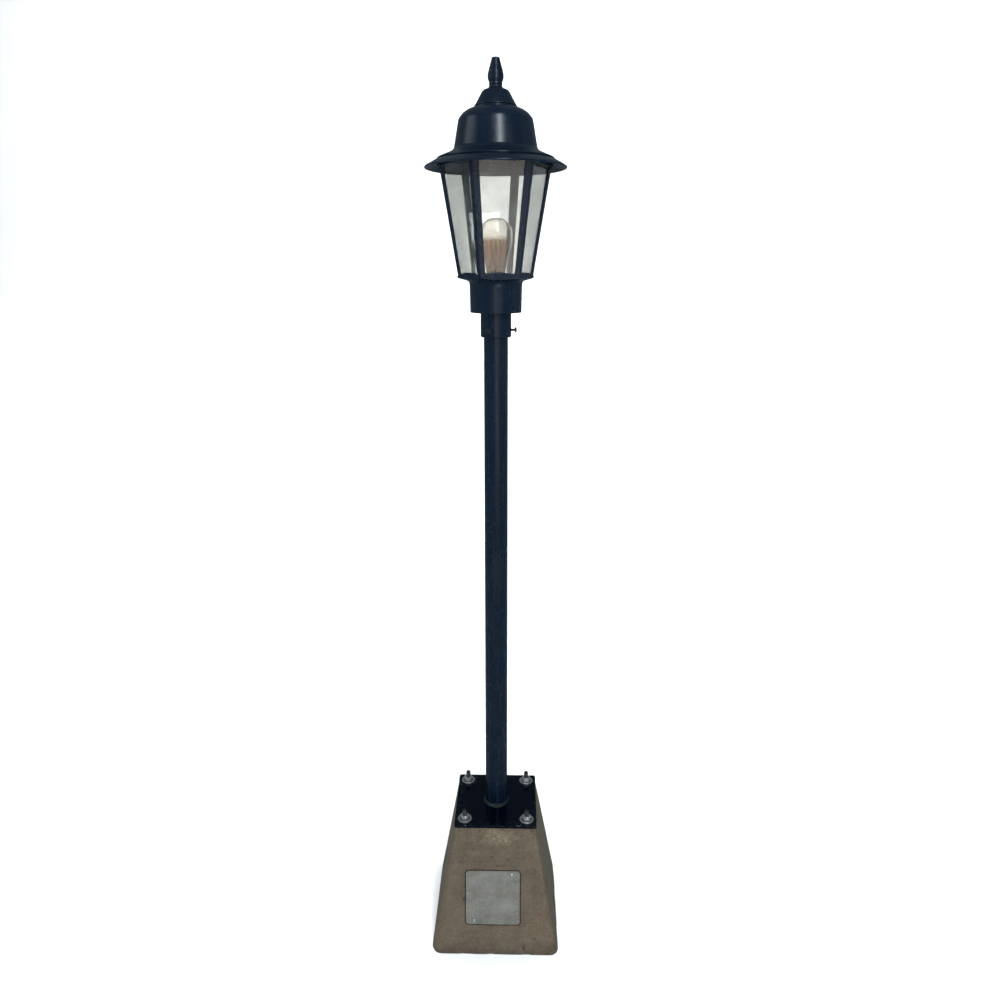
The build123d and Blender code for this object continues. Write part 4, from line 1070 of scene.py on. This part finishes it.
for k, backed in enumerate((0.0015, 0.0, 0.0)):
    a = HEAD_YAW + 2 * math.pi * k / 3
    direction = Vector((math.cos(a), math.sin(a), 0))
    tip = 0.02445 + backed
    screw(f"set_screw_{k + 1}_threaded", f"set_screw_{k + 1}", direction * tip + Vector((0, 0, 1.3486)), direction,
          0.0025, 0.0008, 0.012, dome(0.0054, 0.0038, 0.0024, crown=0.72), (0.0012, 0.0016), 0.6 + 1.1 * k, DARK)
for node, side in (("cover_screw_upper", 1), ("cover_screw_lower", -1)):
    seat = face_point(-0.005 + side * 0.041, 0.1286 + side * 0.052, 0.00053)
    screw(f"{node}_threaded", node, seat - FACE_N * 0.016, FACE_N, 0.0025, 0.0008, 0.016,
          dome(0.0048, 0.0031, 0.0008, crown=0.6), (0.0009, 0.0010), 0.9 + side * 0.35, BRIGHT_ZINC)


# ------------------------------------------------------------------ post with its weld
def post():
    segs = 192
    theta = np.arange(segs) * 2 * math.pi / segs
    r_out, r_in = 0.02415, 0.02125
    rings = []
    # the weld bead: stacked ripples that lean along the run, a little uneven
    steps = 14
    for i in range(steps + 1):
        t = i / steps
        r = r_out + 0.0050 * (1 - t) ** 1.15
        z = 0.286 + 0.0055 * t ** 0.85
        wave = np.sin(theta * 46 + 2.6 * math.sin(math.pi * t) + 0.8 * np.sin(theta * 3))
        swell = math.sin(math.pi * min(1, t * 1.02)) ** 0.7 if 0 < t < 1 else 0.0
        uneven = vnoise(np.column_stack([np.cos(theta), np.sin(theta), np.zeros(segs)]), 5.0, 4)
        bump = swell * (0.00042 * wave + 0.00045 + 0.00030 * uneven)
        rings.append((r + bump * 0.72, np.full(segs, z) + bump * 0.69))
    for z in np.linspace(0.2935, 1.3974, 24):
        rings.append((np.full(segs, r_out), np.full(segs, z)))
    rings.append((np.full(segs, r_out - 0.0004), np.full(segs, 1.398)))
    rings.append((np.full(segs, r_in + 0.0004), np.full(segs, 1.398)))
    rings.append((np.full(segs, r_in), np.full(segs, 1.3976)))
    rings.append((np.full(segs, r_in), np.full(segs, 0.286)))
    verts = []
    for r, z in rings:
        verts.extend(zip(r * np.cos(theta), r * np.sin(theta), z))
    faces = grid_faces(len(rings), segs)
    end = (len(rings) - 1) * segs
    faces.extend((end + s, end + (s + 1) % segs, (s + 1) % segs, s) for s in range(segs))
    return new_object("post_tube_welded", verts, faces, PAINT, "base", 40, ("post_tube",))


post()


# ------------------------------------------------------------------ lamp: screw cap and shell with their Edison thread
def edison(z, theta, pitch=0.003629):
    return np.cos(2 * math.pi * (z / pitch - theta / (2 * math.pi)))


def sleeve(name, node, rows, mat, segs=72):
    """A thin turned wall from rings of outer and inner radius: rows are (z, outer, inner)."""
    theta = np.arange(segs) * 2 * math.pi / segs
    verts = []
    for z, outer, _ in rows:
        r = np.broadcast_to(outer(theta) if callable(outer) else outer, (segs,))
        verts.extend(zip(r * np.cos(theta), r * np.sin(theta), np.full(segs, z)))
    for z, _, inner in reversed(rows):
        r = np.broadcast_to(inner(theta) if callable(inner) else inner, (segs,))
        verts.extend(zip(r * np.cos(theta), r * np.sin(theta), np.full(segs, z)))
    n = 2 * len(rows)
    faces = grid_faces(n, segs)
    end = (n - 1) * segs
    faces.extend((end + s, end + (s + 1) % segs, (s + 1) % segs, s) for s in range(segs))
    return new_object(name, [tuple(v) for v in verts], faces, mat, NODES[node]["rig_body"], 40, (node,))


def cap_rows():
    rows = [(1.4264, 0.01220, 0.01142), (1.4273, 0.01262, 0.01190), (1.4282, 0.01300, 0.01230)]
    for z in np.arange(1.4286, 1.4412, 0.00025):
        blend = min(1.0, (z - 1.4286) / 0.0012, max(0.0, (1.4410 - z) / 0.0012))

        def outer(t, z=z, b=blend):
            return 0.01310 - b * 0.00045 * (1 - edison(z, t))

        rows.append((float(z), outer, lambda t, f=outer: np.minimum(f(t) - 0.00035, 0.01240)))
    rows += [(1.4420, 0.01310, 0.01240), (1.4466, 0.01310, 0.01240), (1.4470, 0.01290, 0.01240)]
    return rows


sleeve("bulb_cap_threaded", "bulb_cap", cap_rows(), CAP)


def shell_rows():
    rows = [(1.4240, 0.01440, 0.01380)]
    for z in np.arange(1.4243, 1.4472, 0.00025):
        blend = min(1.0, (z - 1.4243) / 0.0010, max(0.0, (1.4470 - z) / 0.0010))

        def inner(t, z=z, b=blend):
            return 0.01350 + b * 0.00028 * (1 + edison(z, t))

        rows.append((float(z), lambda t, f=inner: np.minimum(f(t) + 0.00034, 0.01440), inner))
    rows.append((1.4480, 0.01440, 0.01410))
    return rows


sleeve("lampholder_shell_threaded", "lampholder_shell", shell_rows(), BRASS)

# ------------------------------------------------------------------ the other pieces: CAD shapes with their edges broken
for node, width in (("base_plate", 0.0004), ("anchor_washers", 0.0004), ("anchor_nuts", 0.00025), ("post_socket", 0.0004),
                    ("lantern_base", 0.0005), ("upper_ring", 0.0004), ("cover_plate", 0.00025), ("junction_box", 0.0004),
                    ("holder_plate", 0.0003), ("roof_bridge", 0.0004), ("stud_nuts", 0.0002), ("terminal_block", 0.0004),
                    ("lampholder_body", 0.0005), ("roof_cap", 0.0003)):
    polish(node, SLOT_MAT[SLOT_OF[node]], width)
for k in range(1, 7):
    polish(f"cage_bar_{k}", PAINT, 0.0005)
    polish(f"glass_pane_{k}", GLASS, 0.0003)

# ------------------------------------------------------------------ the roof, turned with its creases and spin lines
def curve(points, step=0.9):
    """A smooth line through the points (Catmull-Rom), in millimetres."""
    pts = [Vector(p) for p in points]
    pts = [pts[0] * 2 - pts[1]] + pts + [pts[-1] * 2 - pts[-2]]
    out = []
    for i in range(1, len(pts) - 2):
        a, b, c, d = pts[i - 1:i + 3]
        n = max(2, int((c - b).length / step))
        for k in range(n):
            t = k / n
            out.append(0.5 * ((2 * b) + (c - a) * t + (2 * a - 5 * b + 4 * c - d) * t * t + (3 * b - a - 3 * c + d) * t ** 3))
    out.append(pts[-2])
    return [(p.x, p.y) for p in out]


def turned(name, node, profile, slot="paint", segs=220, smooth=24):
    """A body of revolution from a closed profile of (r, z) in millimetres, shown in a CAD node's place."""
    clean = [profile[0]]
    for p in profile[1:]:
        if math.dist(p, clean[-1]) > 0.02:
            clean.append(p)
    if math.dist(clean[0], clean[-1]) < 0.02:
        clean.pop()
    verts, faces = lathe_faces([(r * MM, z * MM) for r, z in clean], segs)
    return new_object(name, verts, faces, SLOT_MAT[slot], NODES[node]["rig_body"], smooth, (node,))


hood = [(3.4, 1760.0), (3.4, 1762.4), (38.0, 1762.4)]
hood += curve([(40.0, 1761.5), (41.6, 1760.5), (42.5, 1759.4)], 0.4)
hood += [(42.6, 1758.7), (43.1, 1758.2)]
hood += curve([(43.5, 1758.2), (48.0, 1757.3), (54.0, 1754.9), (61.8, 1749.6), (66.6, 1744.3), (69.3, 1740.6)])
hood += curve([(69.6, 1740.0), (70.2, 1738.4), (70.9, 1735.8)], 0.6)
hood += [(70.9 + 7.4 * k / 14, 1735.8 - 42.4 * k / 14) for k in range(1, 15)]
hood += curve([(78.3, 1693.4), (79.9, 1687.4), (84.2, 1682.9), (91.0, 1679.4), (100.0, 1675.6), (109.4, 1671.6)])[1:]
hood += curve([(110.6, 1671.1), (111.5, 1670.3), (111.7, 1669.2), (111.2, 1668.2)], 0.3)
hood += [(110.6, 1667.5)]
hood += curve([(112.6, 1667.2), (118.0, 1665.0), (123.0, 1662.4), (129.0, 1659.0), (134.4, 1655.6)])
hood += curve([(135.1, 1655.0), (135.6, 1654.2), (135.6, 1653.2), (135.1, 1652.4), (134.1, 1651.9)], 0.3)
hood += curve([(132.2, 1653.0), (128.0, 1656.4), (123.0, 1660.2), (118.0, 1663.0), (113.0, 1665.2)])
hood += [(112.2, 1666.0), (97.5, 1666.0), (97.0, 1672.2)]
hood += curve([(97.0, 1672.2), (86.0, 1677.4), (79.0, 1681.6), (76.2, 1687.6)])[1:]
hood += [(76.2 - 7.5 * k / 10, 1687.6 + 46.0 * k / 10) for k in range(1, 11)]
hood += curve([(68.7, 1733.6), (65.2, 1741.2), (52.5, 1752.6), (42.6, 1757.3), (38.0, 1760.0)])[1:]
turned("roof_hood_spun", "roof_hood", hood)

fine = []
for r, z in curve([(12.9, 1805.2), (14.6, 1809.6), (15.15, 1814.4), (14.9, 1818.2), (14.2, 1821.6), (12.2, 1829.8)], 0.3):
    fine.append((r - 0.26 * (0.5 - 0.5 * math.cos(2 * math.pi * (z - 1805.2) / 2.35)) ** 3, z))
tip = []
for r, z in curve([(11.5, 1831.6), (10.8, 1834.4), (10.2, 1836.2), (8.7, 1841.4)], 0.3):
    tip.append((r - 0.22 * (0.5 - 0.5 * math.cos(2 * math.pi * (z - 1831.6) / 2.35)) ** 3, z))
spire = [(3.05, 1797.2), (12.3, 1797.2), (12.6, 1797.5), (12.6, 1798.4), (12.0, 1799.2)]
spire += curve([(12.0, 1799.2), (12.7, 1801.4), (12.2, 1804.4)], 0.4)[1:]
spire += fine + [(11.4, 1830.4), (11.3, 1831.2)] + tip + [(8.3, 1842.2)]
spire += curve([(8.2, 1843.2), (8.1, 1844.6), (7.2, 1846.6), (4.0, 1847.6), (0.0, 1847.9)], 0.5)
spire += [(0.0, 1821.6), (3.05, 1820.0)]
turned("finial_turned", "finial", spire, segs=120)

# ------------------------------------------------------------------ studio
def plain(name, colour, rough):
    m = Mat(name)
    n = m.noise(3.0, 3)
    m.colour(m.mix(m.span(n, 0.3, 0.7), tuple(c * 0.985 for c in colour), colour))
    m.p.inputs["Roughness"].default_value = rough
    m.p.inputs["Specular IOR Level"].default_value = 0.2
    return m.m


def sweep_floor():
    """A pale floor that curves up into a backdrop a long way behind."""
    prof = [(-9.0, 0.0), (-3.0, 0.0), (0.6, 0.0), (5.4, 0.0)]
    for i in range(1, 17):
        a = math.pi / 2 * i / 16
        prof.append((5.4 + 2.6 * math.sin(a), 2.6 * (1 - math.cos(a))))
    prof.append((8.0, 5.2))
    verts, faces = [], []
    for y, z in prof:
        verts += [(-9.0, y, z), (9.0, y, z)]
    for i in range(len(prof) - 1):
        faces.append((2 * i, 2 * i + 1, 2 * i + 3, 2 * i + 2))
    me = bpy.data.meshes.new("studio_floor")
    me.from_pydata(verts, [], faces)
    for p in me.polygons:
        p.use_smooth = True
    me.materials.append(plain("studio_floor", (0.90, 0.90, 0.90), 0.9))
    ob = bpy.data.objects.new("studio_floor", me)
    bpy.context.scene.collection.objects.link(ob)
    ob.visible_glossy = False
    return ob


floor = sweep_floor()
stage_only = bpy.data.collections.new("stage_only")
stage_only.objects.link(floor)


def area(name, at, towards, size, power, colour=(1, 1, 1), stage=False):
    d = bpy.data.lights.new(name, "AREA")
    d.shape = "RECTANGLE"
    d.size, d.size_y = size
    d.energy = power
    d.color = colour
    ob = bpy.data.objects.new(name, d)
    ob.location = at
    ob.rotation_euler = (Vector(towards) - Vector(at)).to_track_quat("-Z", "Y").to_euler()
    bpy.context.scene.collection.objects.link(ob)
    if stage:
        ob.light_linking.receiver_collection = stage_only
    return ob


world = bpy.data.worlds.new("studio")
bpy.context.scene.world = world
world.use_nodes = True
bg = world.node_tree.nodes["Background"]
bg.inputs[0].default_value = (0.68, 0.85, 1.0, 1.0)
bg.inputs[1].default_value = 0.215

area("key", (0.78, -3.1, 3.25), (0, 0, 1.35), (0.42, 1.9), 84, (0.86, 0.955, 1.0))
area("fill", (-3.0, -0.55, 2.6), (0, 0, 1.3), (1.6, 1.9), 18, (0.90, 0.96, 1.0))
area("low_front", (0.86, -3.0, 0.70), (0, 0, 1.4), (1.3, 1.0), 4.6, (1.0, 0.89, 0.85))
area("strip", (-0.06, -3.3, 1.35), (0, 0, 1.35), (0.30, 1.6), 4.2, (1.0, 0.88, 0.84))
area("floor_light", (0, 3.0, 6.2), (0, 3.0, 0), (9.0, 8.0), 600, stage=True)
area("backdrop_left", (-3.4, 3.6, 4.2), (-1.5, 8.0, 1.8), (2.6, 2.6), 150, stage=True)
area("backdrop_right", (3.4, 3.6, 4.2), (1.5, 8.0, 1.8), (2.6, 2.6), 150, stage=True)

# ------------------------------------------------------------------ camera
cam_data = bpy.data.cameras.new("camera")
cam_data.lens = 28.7275
cam_data.sensor_width = 36.0
cam_data.shift_x = 0.0
cam_data.shift_y = -0.04899
cam_data.clip_start, cam_data.clip_end = 0.02, 60.0
cam = bpy.data.objects.new("camera", cam_data)
cam.location = (0.04297, -1.59562, 1.47244)
cam.rotation_euler = (math.pi / 2 - 0.227919, 0.0, 0.021857)
bpy.context.scene.collection.objects.link(cam)
bpy.context.scene.camera = cam

scene = bpy.context.scene
scene.view_settings.view_transform = "Standard"
scene.view_settings.look = "None"
scene.view_settings.exposure = 0.0
